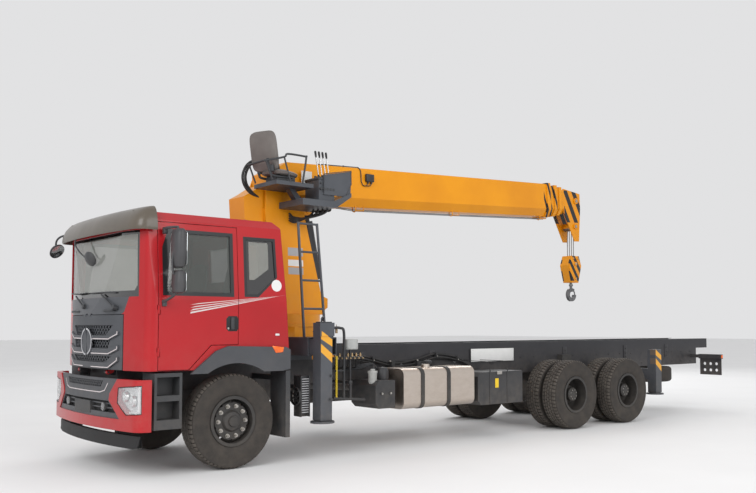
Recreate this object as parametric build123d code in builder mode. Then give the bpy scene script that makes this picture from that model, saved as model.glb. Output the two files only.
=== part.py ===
from build123d import *
from math import cos, radians, sin
import os

os.makedirs("parts", exist_ok=True)

# A truck-mounted crane: 6x4 cab chassis, telescopic crane behind the cab, boom laid over the rear.
# Millimetres. X points forward, Y to the driver's left, Z up, and the ground is Z = 0.

# layout
front_axle_x = 4890
wheelbase = 5850
bogie_spacing = 1350
frame_front = 1040
frame_rear = 10660
subframe_front = 1900
subframe_rear = 11060
sides = (1, -1)
shaft_fit = 0.3
panel_gap = 6
moving_gap = 6

# wheels
tyre_radius = 523
tyre_half_width = 138
tread_half_width = 104
bead_radius = 254
rim_half_width = 122
rim_wall = 12
rim_flange_radius = 278
front_wheel_y = 998
rear_wheel_y = 1122
twin_spacing = 322
spindle_radius = 42
stud_circle = 167.5
stud_count = 10

# chassis rails
rail_outer_y = 430
rail_low_z = 838
rail_high_z = 1143
rail_flange = 80
rail_wall = 9
subframe_high_z = 1324
subframe_flange = 75
subframe_wall = 8
bed_hole_middle = 6500
bed_hole_pitch_x = 5000
bed_hole_y = 388
bed_hole_radius = 9
member_depth = 190
member_width = 90
subframe_member_depth = 120

# cab
cab_floor_z = 1330
cab_floor_thickness = 50
cab_skirt_z = 1100
cab_side_y = 1150
cab_roof_z = 2780
cab_waist_z = 1850
cab_roof_side_y = 1085
cab_rear_low = 710
cab_rear_high = 610
cab_nose = 1205
cab_wall = 45
glass_inset = 14
glass_thickness = 6
windscreen_low_z = 1880
windscreen_high_z = 2580
windscreen_half_width = 985
cab_pivot_ahead = 1140
cab_pivot_z = 1070
cab_lug_radius = 22
cab_lug_pin = 11
cab_lug_y = 395
cab_lug_thickness = 30
grille_half_width = 750
grille_low_z = 1104
grille_high_z = 1690
grille_depth = 42
grille_back = 1062

visor_reach = 60
visor_standoff = 12

# doors
door_front = 905
door_rear = -30
door_low_z = 1108
door_high_z = 2665
door_depth = 60
door_sill_rise = 258
door_hinge_zs = (1300, 1740)
hinge_radius = 12
hinge_pin_radius = 5
hinge_length = 46
grille_hinge_ys = (-90, 50)
grille_hinge_inset = 4

# bumper
bumper_low_z = 490
bumper_high_z = 1020
bumper_half_width = 1225
bumper_nose = 1270
bumper_corner_ahead = 1000
bumper_wall = 60

# crane column and boom
slew_behind = 1430
slew_ring_radius = 420
crane_base_high_z = 1600
turntable_height = 120
column_high_z = 3060
boom_pivot_behind = 1150
boom_pivot_z = 3420
boom_slope = 3
boom_pin_radius = 45
cheek_thickness = 28
boom_width = 400
boom_height = 540
boom_wall = 8
boom_step = 22
boom_start = 120
boom_stroke = 2900

# luffing cylinder
luff_low_behind = 1925
luff_low_z = 1880
luff_high_along = 510
luff_high_drop = 345
luff_barrel_radius = 88
luff_rod_radius = 48
luff_pin_radius = 32

# outriggers
front_leg_behind = 1190
front_leg_stagger = 230
front_beam_width = 160
front_beam_height = 190
front_beam_low_z = 1225
front_sleeve_half = 960
front_sleeve_wall = 12
leg_outer_y = 1210
leg_width = 165
leg_wall = 10
front_leg_low_z = 455
front_leg_high_z = 1610
jack_width = 134
foot_width = 290
foot_thickness = 22
rear_leg_behind = 8145
rear_leg_low_z = 440
rear_leg_high_z = 1170
rear_box_height = 180


def ahead(distance):
    """Row x of a point this far ahead of the front axle."""
    return front_axle_x + distance


def behind(distance):
    """Row x of a point this far behind the front axle."""
    return front_axle_x - distance


def block(x_span, y_span, z_span, mode=Mode.ADD):
    """A box between two x, two y and two z values."""
    spans = (x_span, y_span, z_span)
    middle = [(span[0] + span[1]) / 2 for span in spans]
    size = [abs(span[1] - span[0]) for span in spans]
    with Locations(tuple(middle)):
        return Box(*size, mode=mode)


def side_profile(points, y_span, mode=Mode.ADD):
    """A closed outline of (x, z) points, extruded from one y to the other."""
    with BuildSketch(Plane.XZ.offset(-min(y_span))) as outline:
        with BuildLine():
            Polyline(*points, close=True)
        make_face()
    extrude(outline.sketch, amount=-abs(y_span[1] - y_span[0]), mode=mode)


def round_bar(start, end, radius, mode=Mode.ADD):
    """A straight round bar from one point to another."""
    direction = Vector(*end) - Vector(*start)
    with BuildSketch(Plane(origin=start, z_dir=direction)) as section:
        Circle(radius)
    extrude(section.sketch, amount=direction.length, mode=mode)


def mirrored_span(side, low, high):
    """A y span on the chosen side, from its distances to the middle."""
    return tuple(sorted((side * low, side * high)))


axle_z = tyre_radius
turntable_low_z = crane_base_high_z + shaft_fit
column_low_z = turntable_low_z + turntable_height
cab_pivot_x = ahead(cab_pivot_ahead)
rear_axles = (behind(wheelbase), behind(wheelbase + bogie_spacing))
bogie_centre_x = behind(wheelbase + bogie_spacing / 2)

# frame rails, two channels open to the middle
with BuildPart() as chassis_rails:
    with BuildSketch(Plane.YZ.offset(behind(frame_rear))):
        for side in sides:
            with Locations((side * (rail_outer_y - rail_flange / 2), (rail_low_z + rail_high_z) / 2)):
                Rectangle(rail_flange, rail_high_z - rail_low_z)
            with Locations((side * (rail_outer_y - rail_wall - rail_flange / 2), (rail_low_z + rail_high_z) / 2)):
                Rectangle(rail_flange, rail_high_z - rail_low_z - 2 * rail_wall, mode=Mode.SUBTRACT)
    extrude(amount=frame_rear + frame_front)
chassis_rails.part.label = "chassis_rails"
export_step(chassis_rails.part, "parts/chassis_rails.step")

# the crane's sub-frame lies on the rails and runs past their rear end
with BuildPart() as subframe_rails:
    subframe_mid_z = (rail_high_z + subframe_high_z) / 2
    with BuildSketch(Plane.YZ.offset(behind(subframe_rear))):
        for side in sides:
            with Locations((side * (rail_outer_y - subframe_flange / 2), subframe_mid_z)):
                Rectangle(subframe_flange, subframe_high_z - rail_high_z)
            with Locations((side * (rail_outer_y - subframe_wall - subframe_flange / 2), subframe_mid_z)):
                Rectangle(subframe_flange, subframe_high_z - rail_high_z - 2 * subframe_wall, mode=Mode.SUBTRACT)
    extrude(amount=subframe_rear - subframe_front)
    # four holes in the upper flanges for a cargo bed
    with Locations((behind(bed_hole_middle), 0, subframe_high_z - subframe_wall / 2)):
        with GridLocations(bed_hole_pitch_x, 2 * bed_hole_y, 2, 2):
            Cylinder(bed_hole_radius, 2 * subframe_wall, mode=Mode.SUBTRACT)
subframe_rails.part.label = "subframe_rails"
export_step(subframe_rails.part, "parts/subframe_rails.step")

# cross members between the webs, in the frame and in the sub-frame
member_first = 1960
member_pitch = 1075
member_count = 9
with BuildPart() as cross_members:
    web_y = rail_outer_y - rail_wall
    subframe_web_y = rail_outer_y - subframe_wall
    frame_mid_z = (rail_low_z + rail_high_z) / 2
    member_backs = [member_first + number * member_pitch for number in range(member_count)] + [-frame_front + 60]
    for back in member_backs:
        block((behind(back) - member_width / 2, behind(back) + member_width / 2), (-web_y, web_y),
              (frame_mid_z - member_depth / 2, frame_mid_z + member_depth / 2))
    for back in member_backs[:member_count] + [subframe_rear - member_width / 2]:
        block((behind(back) - member_width / 2, behind(back) + member_width / 2), (-subframe_web_y, subframe_web_y),
              (subframe_mid_z - subframe_member_depth / 2, subframe_mid_z + subframe_member_depth / 2))
    for side in sides:
        # rests under the rear of the cab's floor
        block((behind(640), behind(560)), mirrored_span(side, rail_outer_y - 70, rail_outer_y),
              (rail_high_z, cab_floor_z - cab_floor_thickness - shaft_fit))
        # front lugs with the pins that the cab tilts on
        lug_span = mirrored_span(side, cab_lug_y - 2 * moving_gap - cab_lug_thickness, cab_lug_y - 2 * moving_gap)
        side_profile([(ahead(frame_front), rail_high_z - 110), (ahead(frame_front), rail_high_z),
                      (cab_pivot_x, cab_pivot_z + cab_lug_radius), (cab_pivot_x, cab_pivot_z - cab_lug_radius)], lug_span)
        round_bar((cab_pivot_x, lug_span[0], cab_pivot_z), (cab_pivot_x, lug_span[1], cab_pivot_z), cab_lug_radius)
        round_bar((cab_pivot_x, side * (cab_lug_y - 2 * moving_gap - cab_lug_thickness), cab_pivot_z),
                  (cab_pivot_x, side * (cab_lug_y + cab_lug_thickness + moving_gap), cab_pivot_z), cab_lug_pin)
cross_members.part.label = "cross_members"
export_step(cross_members.part, "parts/cross_members.step")

# front axle: a dropped beam with an eye for each kingpin
kingpin_y = 862
kingpin_radius = 24
fist_radius = 52
fist_half_height = 78
beam_drop = 105
beam_depth = 92
beam_half_width = 48
with BuildPart() as axles:
    beam_low_z = axle_z - beam_drop
    beam_points = [(-kingpin_y, axle_z - 60), (-kingpin_y + 62, axle_z - 60), (-kingpin_y + 200, beam_low_z - beam_depth / 2),
                   (kingpin_y - 200, beam_low_z - beam_depth / 2), (kingpin_y - 62, axle_z - 60), (kingpin_y, axle_z - 60),
                   (kingpin_y, axle_z + 50), (kingpin_y - 150, beam_low_z + beam_depth / 2),
                   (-kingpin_y + 150, beam_low_z + beam_depth / 2), (-kingpin_y, axle_z + 50)]
    with BuildSketch(Plane.YZ.offset(front_axle_x - beam_half_width)):
        with BuildLine():
            Polyline(*beam_points, close=True)
        make_face()
    extrude(amount=2 * beam_half_width)
    with Locations(*[(front_axle_x, side * kingpin_y, axle_z) for side in sides]):
        Cylinder(fist_radius, 2 * fist_half_height)
        Cylinder(kingpin_radius + shaft_fit, 2 * fist_half_height, mode=Mode.SUBTRACT)
    # rear axle housings with their centre bowls and spindles
    housing_radius = 78
    bowl_radius = 205
    bowl_half_width = 130
    pinion_nose = 95
    housing_end_y = 880
    rear_spindle_end_y = 1150
    rear_spindle_radius = 52
    for axle_x in rear_axles:
        round_bar((axle_x, -housing_end_y, axle_z), (axle_x, housing_end_y, axle_z), housing_radius)
        round_bar((axle_x, -rear_spindle_end_y, axle_z), (axle_x, rear_spindle_end_y, axle_z), rear_spindle_radius)
        with BuildSketch(Plane(origin=(axle_x, 0, axle_z), x_dir=(1, 0, 0), z_dir=(0, 0, 1))):
            with BuildLine():
                Polyline((0, -3 * bowl_half_width), (housing_radius, -3 * bowl_half_width), (bowl_radius, -bowl_half_width),
                         (bowl_radius, bowl_half_width), (housing_radius, 3 * bowl_half_width), (0, 3 * bowl_half_width),
                         close=True)
            make_face()
        revolve(axis=Axis((axle_x, 0, axle_z), (0, 1, 0)))
    # pinion noses that the drive shafts bolt to
    for nose_x, direction in ((rear_axles[0], 1), (rear_axles[0], -1), (rear_axles[1], 1)):
        round_bar((nose_x, 0, axle_z), (nose_x + direction * (bowl_radius + pinion_nose), 0, axle_z), housing_radius + 14)
axles.part.label = "axles"
export_step(axles.part, "parts/axles.step")

# leaf springs: two long packs in front, two balanced packs over the bogie
spring_half_width = 38
front_spring_y = 390
front_spring_half = 800
front_spring_low_z = axle_z - beam_drop + beam_depth / 2
front_spring_thickness = 74
rear_spring_y = 492
rear_spring_half = bogie_spacing / 2
rear_spring_low_z = axle_z + housing_radius
rear_spring_thickness = 120
spring_bow = 150
with BuildPart() as leaf_springs:
    for side in sides:
        with BuildSketch(Plane.XZ.offset(-side * front_spring_y - spring_half_width)):
            with BuildLine():
                low_arc = ThreePointArc((ahead(-front_spring_half), front_spring_low_z + spring_bow + 90),
                                        (front_axle_x, front_spring_low_z),
                                        (ahead(front_spring_half), front_spring_low_z + spring_bow + 90))
                high_arc = ThreePointArc((ahead(front_spring_half), front_spring_low_z + spring_bow + 120),
                                         (front_axle_x, front_spring_low_z + front_spring_thickness),
                                         (ahead(-front_spring_half), front_spring_low_z + spring_bow + 120))
                Line(low_arc @ 1, high_arc @ 0)
                Line(high_arc @ 1, low_arc @ 0)
            make_face()
        extrude(amount=2 * spring_half_width)
        # hangers under the rail carry the front pack's ends
        for reach in (-front_spring_half, front_spring_half):
            block((ahead(reach) - 45, ahead(reach) + 45), mirrored_span(side, front_spring_y - 30, front_spring_y + 30),
                  (front_spring_low_z + spring_bow + 100, rail_low_z))
        with BuildSketch(Plane.XZ.offset(-side * rear_spring_y - spring_half_width)):
            with BuildLine():
                low_arc = ThreePointArc((bogie_centre_x - rear_spring_half, rear_spring_low_z),
                                        (bogie_centre_x, rear_spring_low_z + 55),
                                        (bogie_centre_x + rear_spring_half, rear_spring_low_z))
                high_arc = ThreePointArc((bogie_centre_x + rear_spring_half, rear_spring_low_z + 45),
                                         (bogie_centre_x, rear_spring_low_z + 55 + rear_spring_thickness),
                                         (bogie_centre_x - rear_spring_half, rear_spring_low_z + 45))
                Line(low_arc @ 1, high_arc @ 0)
                Line(high_arc @ 1, low_arc @ 0)
            make_face()
        extrude(amount=2 * spring_half_width)
        # trunnion bracket from the rail's web down to the pack's middle
        block((bogie_centre_x - 110, bogie_centre_x + 110), mirrored_span(side, rail_outer_y, rear_spring_y + spring_half_width),
              (rear_spring_low_z + 40, rail_high_z - 40))
leaf_springs.part.label = "leaf_springs"
export_step(leaf_springs.part, "parts/leaf_springs.step")

# engine and gearbox as plain blocks, with the shafts back to both driven axles
shaft_radius = 48
with BuildPart() as power_unit:
    block((behind(850), ahead(330)), (-350, 350), (600, 1130))
    block((behind(1520), behind(850)), (-210, 210), (640, 1060))
    nose_reach = bowl_radius + pinion_nose
    shaft_start_x = rear_axles[0] + nose_reach
    round_bar((shaft_start_x, 0, axle_z), (shaft_start_x + 160, 0, axle_z), shaft_radius)
    round_bar((shaft_start_x + 120, 0, axle_z), (behind(1500), 0, 800), shaft_radius)
    round_bar((rear_axles[0] - nose_reach, 0, axle_z), (rear_axles[1] + nose_reach, 0, axle_z), shaft_radius)
    # mounts out to the rails' webs
    for mount_x in (ahead(150), behind(700)):
        block((mount_x - 50, mount_x + 50), (-web_y, web_y), (880, 960))
power_unit.part.label = "power_unit"
export_step(power_unit.part, "parts/power_unit.step")


def tyre(wheel_x, wheel_y):
    """One tyre: bead, bulged side walls and a lightly crowned tread, spun about the axle."""
    with BuildSketch(Plane(origin=(wheel_x, wheel_y, axle_z))) as section:
        with BuildLine():
            bead_half = rim_half_width - rim_wall - shaft_fit
            seat = Line((bead_radius + shaft_fit, -bead_half), (bead_radius + shaft_fit, bead_half))
            high_bead = Line(seat @ 1, (rim_flange_radius + shaft_fit, bead_half))
            high_wall = ThreePointArc(high_bead @ 1, (0.73 * tyre_radius, tyre_half_width),
                                      (0.955 * tyre_radius, tread_half_width + 12))
            tread = ThreePointArc((0.985 * tyre_radius, tread_half_width), (tyre_radius, 0),
                                  (0.985 * tyre_radius, -tread_half_width))
            Line(high_wall @ 1, tread @ 0)
            low_bead = Line((rim_flange_radius + shaft_fit, -bead_half), seat @ 0)
            low_wall = ThreePointArc((0.955 * tyre_radius, -tread_half_width - 12),
                                     (0.73 * tyre_radius, -tyre_half_width), low_bead @ 0)
            Line(tread @ 1, low_wall @ 0)
        make_face()
    revolve(section.sketch, axis=Axis((wheel_x, 0, axle_z), (0, 1, 0)))


def spun(wheel_x, outline, mode=Mode.ADD):
    """A closed outline of (radius, y) points, spun about an axle."""
    with BuildSketch(Plane.XY.offset(axle_z)) as section:
        with BuildLine():
            Polyline(*[(wheel_x + radius, along) for radius, along in outline], close=True)
        make_face()
    revolve(section.sketch, axis=Axis((wheel_x, 0, axle_z), (0, 1, 0)), mode=mode)


def rim_barrel(centre_y):
    """Outline of one rim: a thin barrel with a flange at each edge."""
    inner = bead_radius - rim_wall
    return [(inner, centre_y - rim_half_width), (rim_flange_radius, centre_y - rim_half_width),
            (rim_flange_radius, centre_y - rim_half_width + rim_wall), (bead_radius, centre_y - rim_half_width + rim_wall),
            (bead_radius, centre_y + rim_half_width - rim_wall), (rim_flange_radius, centre_y + rim_half_width - rim_wall),
            (rim_flange_radius, centre_y + rim_half_width), (inner, centre_y + rim_half_width)]


def wheel_studs(wheel_x, face_y, side):
    """Wheel nuts on their circle, standing out of the disc."""
    with BuildSketch(Plane(origin=(wheel_x, face_y, axle_z), x_dir=(1, 0, 0), z_dir=(0, side, 0))) as nuts:
        with PolarLocations(stud_circle, stud_count):
            RegularPolygon(17, 6)
    extrude(nuts.sketch, amount=28)


def hand_holes(wheel_x, face_y, side, radius, count, hole_radius):
    """Vent holes through the disc."""
    with BuildSketch(Plane(origin=(wheel_x, face_y + side * 60, axle_z), x_dir=(1, 0, 0), z_dir=(0, -side, 0))) as holes:
        with PolarLocations(radius, count, start_angle=18):
            Circle(hole_radius)
    extrude(holes.sketch, amount=120, mode=Mode.SUBTRACT)


# front wheels: the disc bulges out so that the nuts stand near the tyre's outer face
disc_face_y = front_wheel_y + 78
hub_bore_radius = spindle_radius + shaft_fit
hub_inner_y = 950
front_spindle_end_y = disc_face_y + 10
for side, name in ((1, "left"), (-1, "right")):
    with BuildPart() as front_tyre:
        tyre(front_axle_x, side * front_wheel_y)
    front_tyre.part.label = f"front_tyre_{name}"
    export_step(front_tyre.part, f"parts/front_tyre_{name}.step")
    with BuildPart() as front_rim:
        spun(front_axle_x, [(radius, side * along) for radius, along in rim_barrel(front_wheel_y)])
        disc = [(0, disc_face_y), (205, disc_face_y), (bead_radius - rim_wall + 1, front_wheel_y + 30),
                (bead_radius - rim_wall + 1, front_wheel_y + 14), (200, disc_face_y - 16), (0, disc_face_y - 16)]
        spun(front_axle_x, [(radius, side * along) for radius, along in disc])
        hub = [(0, hub_inner_y), (190, hub_inner_y), (190, hub_inner_y + 50), (120, hub_inner_y + 60),
               (120, disc_face_y), (100, disc_face_y + 30), (62, disc_face_y + 36), (56, disc_face_y + 58), (0, disc_face_y + 58)]
        spun(front_axle_x, [(radius, side * along) for radius, along in hub])
        hand_holes(front_axle_x, side * disc_face_y, side, 212, 10, 15)
        wheel_studs(front_axle_x, side * disc_face_y, side)
        round_bar((front_axle_x, side * (hub_inner_y - 5), axle_z), (front_axle_x, side * (front_spindle_end_y + 5), axle_z),
                  hub_bore_radius, mode=Mode.SUBTRACT)
    front_rim.part.label = f"front_rim_{name}"
    export_step(front_rim.part, f"parts/front_rim_{name}.step")

# rear wheels are twins: both discs bolt up between the tyres, so the outer one is a deep dish
rear_face_y = rear_wheel_y - twin_spacing / 2 + 24
drum_inner_y = 700
rear_hub_inner_y = housing_end_y + moving_gap
rear_bore_radius = rear_spindle_radius + shaft_fit
for axle_number, axle_x in enumerate(rear_axles, start=1):
    for side, name in ((1, "left"), (-1, "right")):
        with BuildPart() as rear_tyres:
            for wheel_y in (rear_wheel_y, rear_wheel_y - twin_spacing):
                tyre(axle_x, side * wheel_y)
        rear_tyres.part.label = f"rear_tyres_{axle_number}_{name}"
        export_step(rear_tyres.part, f"parts/rear_tyres_{axle_number}_{name}.step")
        with BuildPart() as rear_rims:
            for wheel_y in (rear_wheel_y, rear_wheel_y - twin_spacing):
                spun(axle_x, [(radius, side * along) for radius, along in rim_barrel(wheel_y)])
            disc = [(60, rear_face_y), (205, rear_face_y), (bead_radius - rim_wall + 1, rear_wheel_y - 66),
                    (bead_radius - rim_wall + 1, rear_wheel_y - 86), (200, rear_face_y - 20), (200, rear_face_y - 28),
                    (bead_radius - rim_wall + 1, rear_wheel_y - twin_spacing + 86),
                    (bead_radius - rim_wall + 1, rear_wheel_y - twin_spacing + 66), (205, rear_face_y - 48),
                    (60, rear_face_y - 48)]
            spun(axle_x, [(radius, side * along) for radius, along in disc])
            hub = [(0, rear_hub_inner_y), (130, rear_hub_inner_y), (130, rear_face_y + 120), (105, rear_face_y + 132),
                   (105, rear_face_y + 190), (88, rear_face_y + 205), (0, rear_face_y + 205)]
            spun(axle_x, [(radius, side * along) for radius, along in hub])
            drum = [(198, drum_inner_y), (212, drum_inner_y), (212, rear_face_y - 40), (120, rear_face_y - 40),
                    (120, rear_face_y - 60), (198, rear_face_y - 60)]
            spun(axle_x, [(radius, side * along) for radius, along in drum])
            wheel_studs(axle_x, side * rear_face_y, side)
            round_bar((axle_x, side * (rear_hub_inner_y - 5), axle_z), (axle_x, side * (rear_spindle_end_y + moving_gap), axle_z),
                      rear_bore_radius, mode=Mode.SUBTRACT)
        rear_rims.part.label = f"rear_rims_{axle_number}_{name}"
        export_step(rear_rims.part, f"parts/rear_rims_{axle_number}_{name}.step")

# steering knuckles: two ears round the beam's eye, a kingpin and the wheel's spindle
ear_thickness = 34
ear_radius = 50
knuckle_web_y = (kingpin_y + fist_radius + moving_gap, kingpin_y + fist_radius + moving_gap + 24)
for side, name in ((1, "left"), (-1, "right")):
    with BuildPart() as knuckle:
        for ear_z in (axle_z + fist_half_height + moving_gap, axle_z - fist_half_height - moving_gap - ear_thickness):
            with Locations((front_axle_x, side * kingpin_y, ear_z + ear_thickness / 2)):
                Cylinder(ear_radius, ear_thickness)
            block((front_axle_x - ear_radius, front_axle_x + ear_radius), mirrored_span(side, kingpin_y, knuckle_web_y[1]),
                  (ear_z, ear_z + ear_thickness))
        ear_top = fist_half_height + moving_gap + ear_thickness
        block((front_axle_x - ear_radius, front_axle_x + ear_radius), mirrored_span(side, *knuckle_web_y),
              (axle_z - ear_top, axle_z + ear_top))
        round_bar((front_axle_x, side * kingpin_y, axle_z - ear_top), (front_axle_x, side * kingpin_y, axle_z + ear_top),
                  kingpin_radius)
        round_bar((front_axle_x, side * knuckle_web_y[0], axle_z), (front_axle_x, side * front_spindle_end_y, axle_z),
                  spindle_radius)
    knuckle.part.label = f"knuckle_{name}"
    export_step(knuckle.part, f"parts/knuckle_{name}.step")


def cab_volume(inset):
    """The cab's outer form drawn in by one distance: side view, plan and front view crossed."""
    with BuildPart() as volume:
        with BuildSketch(Plane.XZ):
            with BuildLine():
                Polyline((ahead(cab_nose), 900), (ahead(cab_nose), cab_waist_z - 120),
                         (ahead(cab_nose - 75), windscreen_high_z + 30), (ahead(cab_nose - 215), cab_roof_z),
                         (behind(cab_rear_high - 60), cab_roof_z), (behind(cab_rear_high), cab_roof_z - 70),
                         (behind(cab_rear_low), cab_skirt_z), (behind(cab_rear_low), 900), close=True)
            make_face()
            offset(amount=-inset, kind=Kind.INTERSECTION)
        extrude(amount=cab_side_y, both=True)
        with BuildSketch(Plane.XY.offset(800), mode=Mode.PRIVATE) as plan:
            with BuildLine():
                nose = ThreePointArc((ahead(1030), cab_side_y - 90), (ahead(cab_nose), 0), (ahead(1030), -cab_side_y + 90))
                right_corner = ThreePointArc(nose @ 1, (ahead(985), -cab_side_y + 28), (ahead(905), -cab_side_y))
                left_corner = ThreePointArc((ahead(905), cab_side_y), (ahead(985), cab_side_y - 28), nose @ 0)
                Polyline(right_corner @ 1, (behind(cab_rear_low + 200), -cab_side_y),
                         (behind(cab_rear_low + 200), cab_side_y), left_corner @ 0)
            make_face()
            offset(amount=-inset, kind=Kind.INTERSECTION)
        extrude(plan.sketch, amount=2200, mode=Mode.INTERSECT)
        with BuildSketch(Plane.YZ.offset(behind(cab_rear_low + 300)), mode=Mode.PRIVATE) as front_view:
            with BuildLine():
                Polyline((-cab_side_y, 700), (-cab_side_y, cab_waist_z), (-cab_roof_side_y, cab_roof_z - 90),
                         (-cab_roof_side_y + 95, cab_roof_z), (cab_roof_side_y - 95, cab_roof_z),
                         (cab_roof_side_y, cab_roof_z - 90), (cab_side_y, cab_waist_z), (cab_side_y, 700), close=True)
            make_face()
            offset(amount=-inset, kind=Kind.INTERSECTION)
        extrude(front_view.sketch, amount=2600, mode=Mode.INTERSECT)
    return volume.part


cab_outer = cab_volume(0)
cab_inner = cab_volume(cab_wall)
cab_door_inner = cab_volume(door_depth)
cab_glass_outer = cab_volume(glass_inset)
cab_glass_inner = cab_volume(glass_inset + glass_thickness)
grille_hinge_x = ahead(cab_nose - grille_hinge_inset)
grille_hinge_z = grille_high_z
arch_radius = 640
door_sill_corner = 560
window_low_z = 1930
window_high_z = 2560
door_window = [(ahead(door_front - 90), window_low_z), (ahead(door_front - 150), window_high_z),
               (ahead(door_rear + 90), window_high_z), (ahead(door_rear + 90), window_low_z)]
quarter_window = [(behind(145), window_high_z - 20), (behind(500), window_high_z - 20), (behind(520), 2120),
                  (behind(280), 1925), (behind(145), 1925)]


def door_outline(gap):
    """Side view of a door opening, grown by a gap: the sill steps up over the wheel arch."""
    return [(ahead(door_front + gap), door_low_z - gap), (ahead(door_front + gap), door_high_z + gap),
            (ahead(door_rear - gap), door_high_z + gap), (ahead(door_rear - gap), door_low_z + door_sill_rise - gap),
            (ahead(door_rear + 330 - gap), door_low_z + door_sill_rise - gap), (ahead(door_sill_corner - gap), door_low_z - gap)]


# cab shell: walls, roof and floor in one, with the openings of doors, windows and front panel cut
with BuildPart() as cab_shell:
    add(cab_outer)
    with BuildPart(mode=Mode.PRIVATE) as cabin:
        add(cab_inner)
        block((behind(3000), ahead(3000)), (-2000, 2000), (cab_floor_z, 4000), mode=Mode.INTERSECT)
    add(cabin.part, mode=Mode.SUBTRACT)
    with BuildPart(mode=Mode.PRIVATE) as underside:
        add(cab_inner)
        block((behind(cab_rear_low - cab_wall), ahead(3000)), (-2000, 2000), (0, cab_floor_z - cab_floor_thickness),
              mode=Mode.INTERSECT)
    add(underside.part, mode=Mode.SUBTRACT)
    block((behind(3000), ahead(3000)), (-2000, 2000), (0, cab_skirt_z), mode=Mode.SUBTRACT)
    for y_span in ((cab_side_y - 150, cab_side_y + 10), (-cab_side_y - 10, -cab_side_y + 150)):
        side_profile(door_outline(panel_gap), y_span, mode=Mode.SUBTRACT)
        side_profile(quarter_window, y_span, mode=Mode.SUBTRACT)
    with Locations(Plane(origin=(front_axle_x, 0, axle_z), z_dir=(0, 1, 0))):
        Cylinder(arch_radius, 3 * cab_side_y, mode=Mode.SUBTRACT)
    block((behind(3000), behind(120)), (-2000, 2000), (0, cab_floor_z - cab_floor_thickness), mode=Mode.SUBTRACT)
    block((ahead(900), ahead(1400)), (-windscreen_half_width, windscreen_half_width), (windscreen_low_z, windscreen_high_z),
          mode=Mode.SUBTRACT)
    block((ahead(grille_back), ahead(1400)), (-grille_half_width - panel_gap, grille_half_width + panel_gap),
          (cab_skirt_z - 10, grille_high_z + panel_gap), mode=Mode.SUBTRACT)
    block((behind(900), behind(500)), (-620, 620), (2130, 2560), mode=Mode.SUBTRACT)
    for side in sides:
        lug_span = mirrored_span(side, cab_lug_y, cab_lug_y + cab_lug_thickness)
        side_profile([(cab_pivot_x - 120, cab_floor_z - cab_floor_thickness), (cab_pivot_x - 40, cab_floor_z - cab_floor_thickness),
                      (cab_pivot_x - 25, grille_low_z), (cab_pivot_x, cab_pivot_z + cab_lug_radius),
                      (cab_pivot_x, cab_pivot_z - cab_lug_radius), (cab_pivot_x - 60, cab_pivot_z)], lug_span)
        round_bar((cab_pivot_x, lug_span[0], cab_pivot_z), (cab_pivot_x, lug_span[1], cab_pivot_z), cab_lug_radius)
        round_bar((cab_pivot_x, lug_span[0], cab_pivot_z), (cab_pivot_x, lug_span[1], cab_pivot_z), cab_lug_pin + shaft_fit,
                  mode=Mode.SUBTRACT)
        for hinge_z in door_hinge_zs:
            hinge_base = (ahead(door_front), side * cab_side_y)
            round_bar((*hinge_base, hinge_z), (*hinge_base, hinge_z + hinge_length), hinge_radius + moving_gap, mode=Mode.SUBTRACT)
            round_bar((*hinge_base, hinge_z - hinge_length), (*hinge_base, hinge_z - shaft_fit), hinge_radius)
            round_bar((*hinge_base, hinge_z - hinge_length), (*hinge_base, hinge_z + hinge_length), hinge_pin_radius)
    # barrels of the front panel's hinge, along its top edge
    for hinge_y in grille_hinge_ys:
        round_bar((grille_hinge_x, hinge_y, grille_hinge_z), (grille_hinge_x, hinge_y + hinge_length, grille_hinge_z),
                  hinge_radius + moving_gap, mode=Mode.SUBTRACT)
        round_bar((grille_hinge_x, hinge_y - hinge_length, grille_hinge_z), (grille_hinge_x, hinge_y - shaft_fit, grille_hinge_z),
                  hinge_radius)
        round_bar((grille_hinge_x, hinge_y - hinge_length, grille_hinge_z), (grille_hinge_x, hinge_y + hinge_length, grille_hinge_z),
                  hinge_pin_radius)
cab_shell.part.label = "cab_shell"
export_step(cab_shell.part, "parts/cab_shell.step")


def glass_sheet(x_span, y_span, z_span, outline=None):
    """Glass inside the cab's wall, cut to one window."""
    with BuildPart() as sheet:
        add(cab_glass_outer)
        add(cab_glass_inner, mode=Mode.SUBTRACT)
        if outline:
            side_profile(outline, y_span, mode=Mode.INTERSECT)
        else:
            block(x_span, y_span, z_span, mode=Mode.INTERSECT)
    return sheet.part


window_fit = 0.3
with BuildPart() as cab_glass:
    add(glass_sheet((ahead(900), ahead(1400)), (-windscreen_half_width + window_fit, windscreen_half_width - window_fit),
                    (windscreen_low_z + window_fit, windscreen_high_z - window_fit)))
    add(glass_sheet((behind(900), behind(500)), (-620 + window_fit, 620 - window_fit), (2130 + window_fit, 2560 - window_fit)))
    for y_span in ((cab_side_y - 150, cab_side_y + 10), (-cab_side_y - 10, -cab_side_y + 150)):
        add(glass_sheet(None, y_span, None, quarter_window))
cab_glass.part.label = "cab_glass"
export_step(cab_glass.part, "parts/cab_glass.step")

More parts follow.
